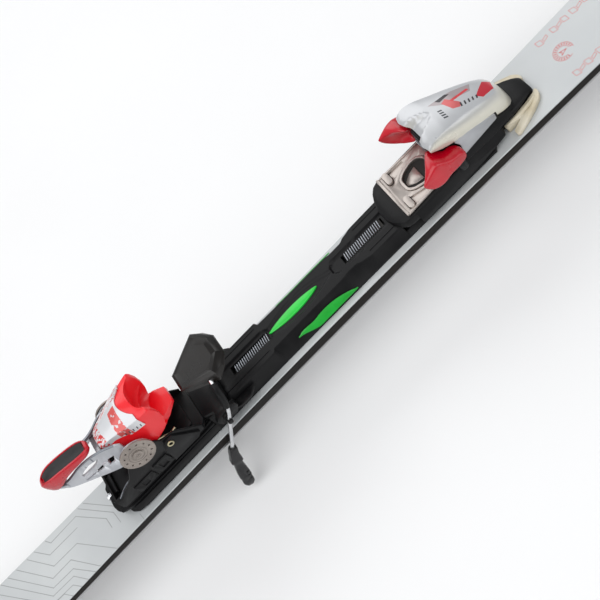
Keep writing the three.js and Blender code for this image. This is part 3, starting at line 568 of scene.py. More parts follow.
def ribbon(name, points, width, closed=False, lift=0.05):
    """A printed line on the top sheet through points (x, y)."""
    path = [Vector(p) for p in points]
    if closed:
        path.append(path[0])
    bodies = []
    for a, b in zip(path, path[1:]):
        along = (b - a).normalized()
        across = Vector((-along.y, along.x)) * width / 2
        start, end = a - along * width * 0.45, b + along * width * 0.45
        count = max(1, int((b - a).length / 12))
        rings = []
        for i in range(count + 1):
            at = start.lerp(end, i / count)
            corners = [at - across, at + across]
            top = [on_ski(c.x, c.y, thickness(c.x) + lift) for c in corners]
            low = [on_ski(c.x, c.y, thickness(c.x) - 0.05) for c in reversed(corners)]
            rings.append(top + low)
        bodies.append(loft(name, rings))
    return merged(*bodies)


MAZE = [
    [(-286, 34.6), (-251, -4), (-249, -14)],
    [(-294, 34.6), (-261, -2), (-259, -17)],
    [(-343, 36), (-338, 29), (-300, 29.6), (-271, -1), (-270, -14)],
    [(-360, 37), (-345, 19), (-304, 18)],
    [(-371, 36.5), (-346, 5), (-312, 4), (-275, -37)],
    [(-387, 37), (-353, -5), (-326, -5), (-300, -37)],
    [(-400, 38), (-357, -14), (-328, -15), (-307, -38)],
    [(-411, 38.4), (-361, -21), (-331, -22), (-318, -38)],
]


def make_graphics():
    lines = [ribbon("tail_lines", line, 0.75) for line in MAZE]
    for k in range(12):
        shift = -13 * k
        top = 38.6 + 0.9 * k
        line = [(-424 + shift, top), (-365 + shift, -28), (-336 + shift, -29), (-328 + shift, -38 - 0.6 * k)]
        if line[0][0] > -620:
            lines.append(ribbon("tail_lines", line, 0.75))
    lines.append(ribbon("tail_lines", [(-237, -27), (-235.5, -37)], 0.6))
    show(merged(*lines), LINE_GREY, "ski", "top_sheet")

    marks = []

    def lozenges(x, y, count, wide, deep, gap):
        for i in range(count):
            at = x + i * (wide + gap)
            lean = 1.6 if i % 2 else -1.6
            outline = [(at, y - deep / 2), (at + wide, y - deep / 2 + lean), (at + wide, y + deep / 2),
                       (at, y + deep / 2 - lean)]
            marks.append(ribbon("tip_marks", outline, 0.42, closed=True))

    for x, y, count, wide, gap in ((336, 27, 2, 5.5, 1.6), (354, 27, 3, 5.2, 1.6),
                                   (378, 26.6, 4, 5.6, 1.6), (414, 26.6, 6, 5.6, 1.6),
                                   (337, -28, 5, 5.2, 1.7), (378, -28, 8, 5.6, 1.7)):
        lozenges(x, y, count, wide, 4.6, gap)
    middle = (346.6, 0.4)
    arc = round_outline(*middle, 10, 40, math.radians(-20), math.radians(318))
    marks.append(ribbon("tip_marks", arc, 0.42))
    arc = round_outline(*middle, 6.2, 30, math.radians(-5), math.radians(290))
    marks.append(ribbon("tip_marks", arc, 0.4))
    for i in range(17):
        angle = math.radians(-8 + 17.5 * i)
        points = [(middle[0] + r * math.cos(angle), middle[1] + r * math.sin(angle)) for r in (7.4, 8.9)]
        marks.append(ribbon("tip_marks", points, 0.9))
    arrow = [(middle[0] + u, middle[1] + v) for u, v in ((-3.4, -2.4), (3.6, 0), (-3.4, 2.4), (-1.6, 0))]
    marks.append(ribbon("tip_marks", arrow, 0.6, closed=True))
    show(merged(*marks), LINE_RED, "ski", "top_sheet")


# ---------- Interface plate ----------
PLATE_ROWS = [
    (-242, 14, 6), (-239.6, 20.4, 6), (-234, 25, 6), (-224, 26.4, 6), (-119.2, 24.6, 6), (-119, 22.7, 17.2),
    (-31, 22.7, 17.2), (-28, 18.6, 16.6), (15, 18.2, 16), (60, 18, 15.6), (70, 16.6, 15.4), (80, 16.9, 15.3),
    (88, 20, 15.2), (98, 22.2, 15), (134, 22.6, 14.8), (134.2, 25, 6), (244, 25, 6), (247, 16.8, 6),
    (262, 16, 5),
]


def smooth_step(low, high, value):
    t = min(max((value - low) / (high - low), 0), 1)
    return t * t * (3 - 2 * t)


def plate_recess(x, y):
    """How far the plate's top is sunk at a place, in millimetres."""
    side = abs(y)
    depth = 0.0
    if 58 < x < 134.1:
        half = 9.4 * math.sqrt(max(1 - max((68 - x) / 9.5, 0) ** 2, 0))
        depth = max(depth, 2.0 * (1 - smooth_step(half - 1.4, half, side)) if half > 0 else 0)
    if -119 < x < -20:
        half = 9.6 * math.sqrt(max(1 - max((x + 34) / 13, 0) ** 2, 0))
        depth = max(depth, 2.0 * (1 - smooth_step(half - 1.4, half, side)) if half > 0 else 0)
    if -34 < x < 60:
        t = (x + 34) / 94
        half = 11.5 * math.sin(math.pi * t) ** 0.8
        depth = max(depth, 1.3 * (1 - smooth_step(half - 2.6, half, side)) if half > 0.5 else 0)
    if 15.6 < side < 16.6 and (98 < x < 134 or -119 < x < -34):
        depth = max(depth, 0.5)
    for start, end in ((-75, -26), (73, 125)):
        if start < x < end and side < 5:
            depth = max(depth, 6.8)
    return depth


def plate_row(x):
    for a, b in zip(PLATE_ROWS, PLATE_ROWS[1:]):
        if a[0] <= x <= b[0]:
            t = (x - a[0]) / (b[0] - a[0])
            if a[0] in (-31, 60, 80, 88):
                t = smooth_step(0, 1, t)
            return lerp(a[1], b[1], t), lerp(a[2], b[2], t)
    return PLATE_ROWS[-1][1:]


def make_plate():
    slot_ends = {-75.01, -74.99, -26.01, -25.99, 72.99, 73.01, 124.99, 125.01}
    places = sorted({round(-242 + 504 * i / 250, 3) for i in range(251)}
                    | {row[0] for row in PLATE_ROWS} | slot_ends)
    inner = [i / 18 for i in range(19)]
    rings = []
    for x in places:
        top, height = plate_row(x)
        rounded = 2.2 if x < -225 else (0.8 if x > 243 else 99)
        foot = min(half_width(x) - 7, top + rounded)
        lip = top - 1.3
        marks = sorted({round(lip * t, 4) for t in inner} | {4.99, 5.01, 15.55, 15.65, 16.55, 16.65} - {0.0})
        marks = [m for m in marks if 0 < m < lip][:22]
        marks += [lip] * (24 - len(marks))
        surface_half = [(x, y, height - plate_recess(x, y)) for y in marks]
        shoulder = height - 1.4
        slope = [(x, top, shoulder), (x, lerp(top, foot, 0.4), lerp(shoulder, 2.6, 0.55)),
                 (x, foot, 2.4), (x, foot, 0.3)]
        left = surface_half + slope
        right = [(px, -py, ph) for px, py, ph in left]
        rings.append([(x, 0, height - plate_recess(x, 0))] + left + right[::-1])
    show(loft("interface_plate_look", rings), BLACK, "ski", "black_plastic", "interface_plate", sharp=24)


def lens_half(t):
    return math.sin(math.pi * min(max(t, 0.004), 0.996)) ** 0.62


def make_leaves():
    rows = []
    for i in range(41):
        t = i / 40
        x = lerp(-24, 39, t)
        half = max(5.6 * lens_half(t), 0.25)
        rows.append([(x, 0, 13.4)] + [(x, half * u, 16.1 - 0.9 * u * u * u * u if abs(u) < 1 else 14.2)
                                      for u in (1, 0.85, 0.6, 0.3, 0, -0.3, -0.6, -0.85, -1)])
    show(loft("inlay_center_look", rows), GREEN, "ski", "green_plastic", "inlay_center")

    top, bottom = (-18.2, 14.3), (-27, 2.6)
    length = math.dist(top, bottom)
    out = ((bottom[1] - top[1]) / length, -(bottom[0] - top[0]) / length)
    rings = []
    for i in range(33):
        t = i / 32
        x = lerp(-5, 66.5, t)
        low = lerp(length * 0.55, length * 0.98, smooth_step(0, 0.34, t))
        bulge = math.sin(math.pi * min(max(t, 0.02), 0.98)) ** 0.75 * length * 0.62
        high = low - min(max(bulge, 0.3), low - 0.5)
        ring = []
        for s, lift in ((0, 0.5), (1, 0.5), (1, 1.1), (0.75, 1.5), (0.5, 1.6), (0.25, 1.5), (0, 1.1)):
            along = lerp(low, high, s)
            ring.append((x, lerp(top[0], bottom[0], along / length) + out[0] * lift,
                         lerp(top[1], bottom[1], along / length) + out[1] * lift))
        rings.append(ring)
    side = loft("inlay_side_right_look", rings)
    # the side inlays take the darker green, which is painted shade on the plate's sloping sides
    show_pair(side, "inlay_side", SHADED_GREEN, "ski", "green_plastic", "inlay_side")


def make_rack(name, start, end, cad_node):
    strip_base = box(name, start, end, -4.75, 4.75, 8.3, 12.7)
    ribs = []
    for i in range(int((end - start) / 2.5)):
        x = start + 0.7 + 2.5 * i
        rings = []
        for y in (-4.7, -1.5, 1.5, 4.7):
            lean = 0.11 * y
            crown = 14.4 - 0.25 * (y / 4.7) ** 2
            corners = ((0, 12.4), (1.2, 12.4), (1.1, crown - 0.2), (0.85, crown), (0.35, crown),
                       (0.1, crown - 0.2))
            rings.append([(x + u + lean, y, h) for u, h in corners])
        ribs.append(loft("rib", rings))
    rack = merged(strip_base, *ribs)
    rack.data.materials.append(RIBS)
    rack.data.materials.append(HOLE_DARK)
    for face in rack.data.polygons:
        face.material_index = 1 if face.center.z < (DECK + 12.9) / 1000 else 0
    show(rack, RIBS, "ski", "rack_steel", cad_node)


# ---------- Toe piece ----------
TOE_ROWS = [
    (127.8, 7, 5, 15.5, 17.8), (129.2, 13.6, 11, 15.3, 19.2), (131.6, 20, 17.4, 15.3, 20.6),
    (135, 26, 23.4, 15.3, 21.8), (139.6, 30.2, 28, 15.2, 22.6), (146, 31.4, 30, 15.2, 23),
    (151.8, 31.6, 30, 15.2, 23), (152, 31.6, 30, 6.3, 23), (176, 31.8, 30, 6.3, 23), (200, 31.7, 30, 6.3, 23),
    (224, 31, 28, 6.3, 22.6), (246, 29, 22, 6.3, 18.4), (257, 27.4, 17, 6.3, 16.2),
    (261, 18.6, 14.8, 6.3, 15.8), (275.8, 16.6, 13.2, 6.3, 14.4), (276, 16.6, 13.2, 0.4, 14.4),
    (283, 16, 12.4, 0.4, 13.2), (290, 14.2, 10.6, 0.4, 11.4), (297, 11.8, 8.8, 0.4, 9.2),
    (301, 10.2, 7.6, 0.4, 7), (303.4, 7.6, 5.6, 0.4, 4),
]


def make_toe_base():
    rings = []
    for x, wide, narrow, low, high in TOE_ROWS:
        share = 0.35 if x < 240 else 0.12
        shoulder = lerp(low, high, share)
        rings.append([(x, -wide, low), (x, wide, low), (x, wide, shoulder), (x, lerp(wide, narrow, 0.6),
                     lerp(shoulder, high, 0.62)), (x, narrow, high - 0.4), (x, narrow * 0.55, high),
                     (x, -narrow * 0.55, high), (x, -narrow, high - 0.4),
                     (x, -lerp(wide, narrow, 0.6), lerp(shoulder, high, 0.62)), (x, -wide, shoulder)])
    base = loft("toe_base_look", rings)
    cap = []
    for x, half, low, high in ((256, 20.2, 10, 15.8), (266, 20.6, 9.2, 15), (276, 20.4, 8.8, 14.2),
                               (284, 19.2, 8.2, 13.2), (291, 16.6, 7.4, 11.6), (297, 13.6, 6.4, 9.6),
                               (301, 11, 5.4, 7.6), (303, 9, 4.6, 6)):
        cap.append([(x, 1 - half, low), (x, half - 1, low), (x, half, lerp(low, high, 0.45)),
                    (x, half - 1.8, high - 0.5), (x, half * 0.5, high), (x, -half * 0.5, high),
                    (x, 1.8 - half, high - 0.5), (x, -half, lerp(low, high, 0.45))])
    join(base, loft("cap", cap))
    pins = [rod("pin_hole", 2, (212, s * 32), 2.6, 17, 40, 24) for s in (-1, 1)]
    cut(base, *pins)
    show(bevel(base, 1.0, 3, 22), BLACK, "toe", "black_plastic", "toe_base", sharp=32)


def arc_points(points, radius, count=4):
    """An outline with its corners rounded."""
    made = []
    for i, corner in enumerate(points):
        here, before, after = Vector(corner), Vector(points[i - 1]), Vector(points[(i + 1) % len(points)])
        room = min(radius, (before - here).length * 0.45, (after - here).length * 0.45)
        a, b = here + (before - here).normalized() * room, here + (after - here).normalized() * room
        for k in range(count + 1):
            t = k / count
            made.append(tuple(a.lerp(here, t).lerp(here.lerp(b, t), t)))
    return made


TEARDROP = [(163.2, -6), (163.2, 6), (168, 10.6), (179, 14.2), (187, 13), (191.5, 7), (191.5, -7), (187, -13),
            (179, -14.2), (168, -10.6)]


def grown(points, amount):
    middle = Vector((sum(p[0] for p in points) / len(points), sum(p[1] for p in points) / len(points)))
    return [tuple(Vector(p) + (Vector(p) - middle).normalized() * amount) for p in points]


def make_afd():
    opening = arc_points(TEARDROP, 4)
    outline = arc_points([(145.6, -27.8), (199, -25.8), (199, 25.8), (145.6, 27.8)], 2.2)
    body = prism("afd_plate_look", outline, 2, 23.3, 25.2)
    join(body, prism("border", grown(opening, 2.4), 2, 24, 26.2))
    cut(body, prism("opening", opening, 2, 20, 30))
    seam = cut(prism("seam", grown(opening, 3.1), 2, 24, 30), prism("inside", grown(opening, 2.4), 2, 20, 34))
    cut(body, seam)
    for side in (-1, 1):
        recess = arc_points([(152.6, side * 12.6), (152.6, side * 24.8), (176, side * 23.6),
                             (176, side * 19.4), (163, side * 15.4)], 2.4)
        cut(body, prism("recess", recess, 2, 24, 30))
        boss = [(155.1 + u, side * 18.8 + v) for u, v in capsule(4.4, 3.1)]
        seam = [(155.1 + u, side * 18.8 + v) for u, v in capsule(4.5, 3.75)]
        cut(body, prism("seam", seam, 2, 20, 30))
        join(body, prism("boss", boss, 2, 24, 28.2))
    join(body, box("rim", 145.7, 148.2, -27.6, 27.6, 24, 26.6))
    cut(body, box("groove", 148.3, 149.3, -27, 27, 24.3, 30))
    for side in (-1, 1):
        join(body, loft("lip", [[(x, side * near, 24), (x, side * far, 24), (x, side * far, 25.9),
                                 (x, side * near, 25.9)]
                                for x, near, far in ((150, 25.8, 27.6), (198.6, 24, 25.8))]))
    show(bevel(body, 0.42, 3, 30), NICKEL, "afd", "nickel", "afd_plate", sharp=40)
    floor = prism("afd_floor", grown(opening, 1.5), 2, 22.9, 23.2)
    show(floor, HOLE_DARK, "toe", "black_plastic")
    ramp = loft("afd_ramp", [[(x, -y, 23.1), (x, y, 23.1), (x, y, h), (x, -y, h)]
                             for x, y, h in ((164.2, 2.2, 23.7), (172, 7, 24.1), (180, 9, 24.3))])
    show(bevel(ramp, 0.3, 2), NICKEL, "toe", "nickel")


COVER_ROWS = [
    # place, crown, ridge's distance and height, half width, edge's height and distance
    (199.5, 67.5, 26.4, 66.2, 28.6, 62.5, 28), (203, 69.4, 27, 68.4, 29, 60.5, 28.4),
    (209, 70.8, 27.2, 69.6, 29.5, 57, 28.8), (219, 69.8, 25.6, 67.8, 29.2, 52, 28.4),
    (227, 67, 23.4, 64.8, 28.5, 48.6, 27.8), (235, 63.8, 21.2, 61.5, 27.4, 45, 26.6),
    (245, 59.6, 18.8, 57.3, 25.9, 39.4, 25), (251, 56.4, 17.8, 54.2, 24.8, 35.6, 24),
    (264, 49.4, 15.6, 47.1, 22, 27, 21.2), (272, 44.4, 13.6, 42, 19.8, 21.8, 18.8),
    (277.4, 40.6, 11.4, 38, 17.2, 18.4, 16.2), (280.4, 36.6, 8.8, 33.6, 14.4, 16.2, 13.4),
    (282.4, 31, 6.4, 27.6, 11, 14.6, 10.4), (283.6, 24, 3.6, 21, 6.8, 13.6, 6.4),
]


def cover_profile(row, columns=14):
    """Half a cross-section of the cover, from its crown to its lower edge."""
    x, crown, ridge_y, ridge_h, half, edge_h, edge_y = row
    points = []
    for i in range(columns):
        t = i / columns
        points.append((ridge_y * t, crown - (crown - ridge_h) * t ** 2.4))
    control = (half + 0.8, lerp(ridge_h, edge_h, 0.3))
    for i in range(columns + 1):
        t = i / columns
        y = (1 - t) ** 2 * ridge_y + 2 * t * (1 - t) * control[0] + t * t * edge_y
        h = (1 - t) ** 2 * ridge_h + 2 * t * (1 - t) * control[1] + t * t * edge_h
        points.append((y, h))
    return points


def cover_valley(x, y):
    """The hollow between the cover's two rear horns, narrowing to the front."""
    ahead = (x - 200) / 23.5
    if ahead >= 1:
        return 0.0
    half = 13.5 * (1 - max(ahead, 0)) ** 0.55
    return 6.6 * (1 - smooth_step(half * 0.45, half, abs(y))) * (1 - max(ahead, 0) ** 2.2)


def make_cover():
    rows = []
    for row in smooth_rows(COVER_ROWS, 1.1):
        x = row[0]
        near = max(1 - (x - 199.5) / 12, 0)
        half = cover_profile(row)
        line = []
        for sign in (-1, 1):
            side = half[::-1] if sign < 0 else half[1:]
            for y, h in side:
                bow = 3.6 * (1 - smooth_step(8, 13, y)) - 1.6 * math.exp(-(((y - 20) / 4.5) ** 2))
                high_enough = smooth_step(row[5] - 2, row[5] + 6, h)
                line.append((x + near * bow, sign * y, h - cover_valley(x, y) * high_enough))
        rows.append(line)
    cover = grid("toe_cover_look", rows)
    modifier = cover.modifiers.new("wall", "SOLIDIFY")
    modifier.thickness = 0.0021
    modifier.offset = -1
    bake(cover)
    round_edges(cover, 0.5, 2, 50)
    patches = [
        ((0.42, 0.36, 0.37), [(226, 9), (250, 12), (266, 10), (262, 1), (236, 1)]),
        ((0.66, 0.13, 0.13), [(236, 3), (240, -9), (246, -11), (249, -6), (241, 6)]),
        ((0.68, 0.06, 0.07), [(243, 1.6), (244.5, -1), (262, 3.4), (261, 6)]),
        ((0.03, 0.025, 0.03), [(233, 9.5), (236, 5.6), (247, 9), (244, 11.6)]),
        ((0.62, 0.03, 0.05), [(262, -8), (266, -12), (278, -7), (280, 3), (275, 6)]),
    ]
    for i in range(5):
        x, y = 246.5 + 3.6 * i, -11.4 + 0.2 * i
        stroke = [(x, y), (x + 1.5, y + 0.2), (x + 2.6, -6.6), (x + 1.2, -6.6)]
        patches.append(((0.05, 0.045, 0.05), stroke))
    for i in range(4):
        y = -2.4 - 3.2 * i
        stroke = [(228.6, y), (232.4, y - 0.6), (232.4, y - 2.4), (228.6, y - 1.8)]
        patches.append(((0.06, 0.065, 0.07), stroke))
    for colour, corners in patches:
        repaint(PEARL, polygon_mask(PEARL, corners), colour)
    show(cover, PEARL, "toe", "pearl_white", "toe_cover", sharp=34)


def make_toe_housing():
    body = copy_of("toe_housing_look", "toe_housing")
    show(bevel(body, 0.8, 2), BLACK, "toe", "black_plastic", "toe_housing")
    rings = []
    for y in (-16.6, -12, -6, 0, 6, 12, 16.6):
        crown = 4 * (1 - (y / 17) ** 2)
        rings.append([(198.4, y, 40), (203, y, 40), (203, y, 54 + crown), (199.8, y, 53 + crown)])
    bridge = loft("toe_bridge", rings)
    show(bevel(bridge, 0.8, 2), BLACK, "toe", "black_plastic")
    window = loft("scale_window", [[(196.9, y, 46.5), (198.7, y, 46.5), (199.3, y, 50.5), (197.7, y, 50.5)]
                                   for y in (-7, -2, 2, 7)])
    show(bevel(window, 0.4, 2), LEVER_DARK, "toe", "black_plastic")


def make_wings():
    """The claw that holds one side of a boot's toe: a swept jaw with a round lobe at its pivot."""
    side = [(174, 50), (175, 45), (178, 40), (182.4, 36.6), (188, 35), (193, 35.6), (199, 37), (206, 37.4),
            (214, 37), (219.6, 38.2), (221.8, 42), (220.6, 46.6), (216, 49.2), (210.5, 50.2), (204.5, 52.6),
            (199.6, 56.8), (195, 59.6), (188, 58), (181, 54.4), (176, 51.6)]
    inner = [(173.6, -38.5), (180, -34.4), (186.5, -28.6), (191.6, -22), (196.4, -16.2), (200, -15.4),
             (204, -20.6), (208, -24), (215, -23.4), (222.2, -28.2)]

    def inner_y(x):
        for a, b in zip(inner, inner[1:]):
            if a[0] <= x <= b[0]:
                return lerp(a[1], b[1], (x - a[0]) / (b[0] - a[0]))
        return inner[0][1] if x < inner[0][0] else inner[-1][1]

    def outer_y(x, h):
        bulge = -42.4 + 0.006 * (x - 194) ** 2 * (0.35 if x > 194 else 1)
        return bulge + 0.012 * (h - 43) ** 2

    outline = arc_points(side, 3, 3)
    middle = (198, 44)
    rings = []
    for depth, shrink in ((0, 0.86), (0.1, 0.955), (0.28, 1), (0.72, 1), (0.9, 0.955), (1, 0.86)):
        ring = []
        for x, h in outline:
            px, ph = lerp(middle[0], x, shrink), lerp(middle[1], h, shrink)
            ring.append((px, lerp(outer_y(px, ph), inner_y(px), depth), ph))
        rings.append(ring)
    wing = loft("wing_right_look", rings)
    modifier = wing.modifiers.new("smooth", "SUBSURF")
    modifier.levels = 2
    bake(wing)
    cut(wing, rod("pin_hole", 2, (212, -32), 2.3, 10, 47.9, 24))
    show_pair(wing, "wing", RED, ("wing_right", "wing_left"), "red_plastic", "wing", sharp=50)


def lean_outward(panel, rear):
    """Turns a flat right panel, so that it stands at y = rear at its rear end and further in ahead."""
    for vertex in panel.data.vertices:
        vertex.co.y += (rear + (vertex.co.x * 1000 - 219) * 0.14) / 1000


def make_toe_details():
    outline = [(219.8, 29.5), (221.6, 37), (222.4, 43), (219.6, 50.4), (227, 50.6), (262.4, 33),
               (261.4, 26.6)]
    panel = prism("side_panel_right_look", arc_points(outline, 1.2), 1, -1.6, 0)
    lean_outward(panel, -27.4)
    bevel(panel, 0.4, 2)
    show_pair(panel, "side_panel", SILVER, "toe", "silver_plastic", "side_panel")
    outline = [(219, 27), (223, 40), (226.5, 46), (230, 48.6), (264.6, 32.4), (263.6, 24)]
    back = prism("panel_seat_right_look", arc_points(outline, 1.6), 1, -2.4, 0)
    lean_outward(back, -25.6)
    bevel(back, 0.5, 2)
    show_pair(back, "panel_seat", BLACK, "toe", "black_plastic", None)
    flank = loft("toe_flank_right_look", [
        [(203, -20, 22), (203, -29.6, 22), (203, -24, 36), (203, -20, 36)],
        [(222, -18, 22), (222, -30.4, 22), (222, -26.8, 34), (222, -18, 34)],
        [(245, -14, 17.6), (245, -28.2, 17.6), (245, -24, 27.6), (245, -14, 30)],
        [(262, -10, 13.6), (262, -24.4, 13.6), (262, -20.8, 23.4), (262, -10, 25)],
        [(281, -6, 9), (281, -19, 9), (281, -14.6, 14.6), (281, -6, 16)]])
    show_pair(bevel(flank, 1.2, 3, 20), "toe_flank", BLACK, "toe", "black_plastic", None)
    for side, name in ((-1, "right"), (1, "left")):
        pin = rod(f"wing_pin_{name}_look", 2, (212, side * 32), 2, 23.4, 47.6)
        show(bevel(pin, 0.3, 2), STEEL, "toe", "steel", f"wing_pin_{name}")
        collar = rod(f"pin_collar_{name}", 2, (212, side * 31), 5.2, 22.4, 35.4, 36)
        show(bevel(collar, 0.8, 3), BLACK, "toe", "black_plastic")
    screw = rod("nose_screw_look", 2, (299, 0), 2.3, 4.9, 6.2)
    cut(screw, box("slot", 296, 302, -0.35, 0.35, 5.8, 8))
    show(bevel(screw, 0.2, 2), STEEL, "toe", "steel", "nose_screw")
    outline = [(261.4, -18.9), (276, -18), (290, -15.4), (297, -13), (301.6, -11.6), (304.2, -9),
               (305.8, -11.6), (304.6, -16.2), (300.6, -21), (291, -26), (279, -30.6), (267, -34.2),
               (264.4, -32.6), (265.4, -29), (275.8, -25), (276.4, -23.8), (270, -23.2), (262, -23.2)]
    clip = prism("lock_clip_right_look", arc_points(outline, 1.6, 3), 2, 0, 6)
    for vertex in clip.data.vertices:
        x, y, z = vertex.co.x * 1000, -vertex.co.y * 1000, vertex.co.z
        outside = smooth_step(19, 33, y)
        top = 6.4 - 0.095 * (x - 262) - 2.2 * outside + 0.9 * math.exp(-(((x - 284) / 9) ** 2))
        vertex.co.z = (DECK + (top if z > (DECK + 3) / 1000 else thickness(x) - DECK + 0.35)) / 1000
    rows = [(264, -20.8, 1.2, 6.9), (274, -20.4, 1.8, 6.6), (284, -20, 2.2, 6.4), (293, -18.4, 1.8, 5),
            (300, -15.4, 1.2, 3.4)]
    ridge = loft("ridge", [[(x, y - w, h - 2), (x, y + w, h - 2), (x, y + w * 0.5, h), (x, y - w * 0.5, h)]
                           for x, y, w, h in rows])
    join(clip, ridge)
    show_pair(bevel(clip, 0.7, 3, 30), "lock_clip", IVORY, "lock_clips", "ivory_plastic", "lock_clip")
    paint("toe_piston", STEEL)
    paint("toe_spring", STEEL, 60)
    paint("toe_din_screw", BRASS)


# ---------- Heel piece ----------
HOUSING_ROWS = [
    # place, half widths of the top and bottom, bottom, shoulder and crown heights
    (-198, 9.4, 9.2, 68, 84, 86), (-195, 10.6, 12.6, 62.4, 85, 87.4), (-192, 11.6, 15, 58, 86, 88.6),
    (-184, 13.6, 21, 50, 87.4, 91), (-172, 17.6, 23.2, 47, 89, 94.8), (-160, 21.4, 23.4, 47.4, 90.4, 98.2),
    (-150, 23.8, 23.6, 50, 91.2, 96.4), (-143, 25.2, 23.2, 53, 92, 94.4),
    (-138.2, 25.6, 22.4, 55, 92.6, 93.6),
    (-133, 25.4, 22, 56.4, 92.8, 93.4),
]


def housing_ring(row, grow=0.0):
    x, top, bottom, low, shoulder, crown = row
    side = [(bottom - 4, low), (bottom, low + 4), (lerp(bottom, top, 0.55), lerp(low, shoulder, 0.6)),
            (top, shoulder - 2.2), (top - 0.5, shoulder - 0.7), (top - 2, shoulder + 0.2)]
    over = [((top - 2) * t, lerp(shoulder + 0.2, crown, math.cos(t * math.pi / 2) ** 1.1))
            for t in (0.8, 0.55, 0.28)]
    half = [(y + grow, h + (grow if k > 3 else 0)) for k, (y, h) in enumerate(side + over)]
    right = [(x, -y, h) for y, h in half]
    left = [(x, y, h) for y, h in half][::-1]
    return [(x, 0, low)] + right + [(x, 0, crown + grow)] + left


def make_heel_housing():
    rows = smooth_rows(HOUSING_ROWS, 1.6)
    body = loft("heel_housing_look", [housing_ring(row) for row in rows])
    front = prism("front", [(-118, 54), (-143.4, 54), (-141.6, 58.4), (-137.2, 66), (-134.9, 74),
                            (-134.3, 82), (-135.2, 88), (-137.2, 92), (-141.4, 95.4), (-139, 112),
                            (-118, 112)], 1, -40, 40)
    cut(body, front)
    spur = prism("spur", [(-152, -18), (-135.4, -15.4), (-124.2, -9.6), (-123.6, -8), (-123.6, 8),
                          (-124.2, 9.6), (-135.4, 15.4), (-152, 18)], 2, 50, 60.6)
    slope = prism("slope", [(-160, 40), (-110, 40), (-110, 58.2), (-124, 56.6), (-141, 51.8), (-160, 50)],
                  1, -30, 30)
    join(body, cut(spur, slope))
    levels = [(60, 27, 19.6), (62.4, 30.6, 20.6), (67, 33.2, 21.6), (78, 33.6, 22.2), (87, 31, 22.8),
              (94, 28.4, 23.6), (100, 27, 24.4)]
    half_turn = [math.pi * i / 32 for i in range(33)]
    cup = loft("cup", [[(-119 - reach * math.sin(a) ** 0.8,
                         wide * math.copysign(abs(math.cos(a)) ** 0.75, math.cos(a)), h)
                        for a in half_turn] for h, reach, wide in levels])
    cut(body, cup)
    rib = loft("rib", [[(-155 + 0.03 * y * y, y, 70.4), (-149.4 + 0.03 * y * y, y, 71.4),
                        (-149.4 + 0.03 * y * y, y, 73.6), (-155 + 0.03 * y * y, y, 75)]
                       for y in (-20, -14, -7, 0, 7, 14, 20)])
    join(body, rib)
    cut(body, rod("bore", 0, (0, 77), 7, -220, -158), rod("hub", 1, (-178, 64), 4.4, -40, 40))
    round_edges(body, 1.1, 3, 34)
    show(body, BRIGHT_RED, "heel_cup", "red_plastic", "heel_housing", sharp=30)

    rings = []
    for row in smooth_rows(HOUSING_ROWS[:7], 1.4):
        x = row[0] + 0.6 if row[0] < -197.9 else row[0]
        ring = housing_ring(row, 0.25)
        outer = housing_ring(row, 1.0)
        keep = range(4, 17)
        reach = smooth_step(-198, -186, x)
        inner_line = [(x, ring[k][1], ring[k][2]) for k in keep]
        outer_line = [(x, outer[k][1], outer[k][2] + 0.2) for k in keep]
        drop = lerp(1.5, 9.5, reach)
        for line in (inner_line, outer_line):
            for end, sign in ((0, -1), (-1, 1)):
                px, py, ph = line[end]
                line[end] = (px, py + sign * 0.02 * drop, ph - drop)
        rings.append(inner_line + outer_line[::-1])
    panel = loft("heel_panel_look", rings)
    turn = [math.pi * i / 36 for i in range(72)]
    arch = prism("arch", [(-132 + 26 * math.cos(a), 24.6 * math.sin(a)) for a in turn], 2, 60, 120)
    cut(panel, arch)
    for corners, scale, threshold, colour in (
            ([(-200, -30), (-186, -30), (-190, 30), (-200, 30)], 420, 0.5, (0.66, 0.05, 0.05)),
            ([(-178, -30), (-164, -30), (-160, 2), (-170, 2)], 260, 0.42, (0.72, 0.1, 0.09)),
            ([(-198, 8), (-150, 8), (-150, 30), (-198, 30)], 300, 0.53, (0.62, 0.12, 0.11))):
        repaint(LABEL, splatter(LABEL, polygon_mask(LABEL, corners), scale, threshold), colour)
    for i in range(5):
        x = -171 + 4.2 * i
        stroke = polygon_mask(LABEL, [(x, 80.6), (x + 1.2, 80.8), (x + 2.2, 84.4), (x + 0.8, 84.2)], (0, 2))
        repaint(LABEL, stroke, (0.08, 0.08, 0.09))
    show(panel, LABEL, "heel_cup", "pearl_white", "heel_panel", sharp=40)
    paint("heel_piston", STEEL)
    paint("heel_spring", STEEL, 60)
    paint("heel_din_screw", BRASS)


DISC_CENTRE = (-178, 64)


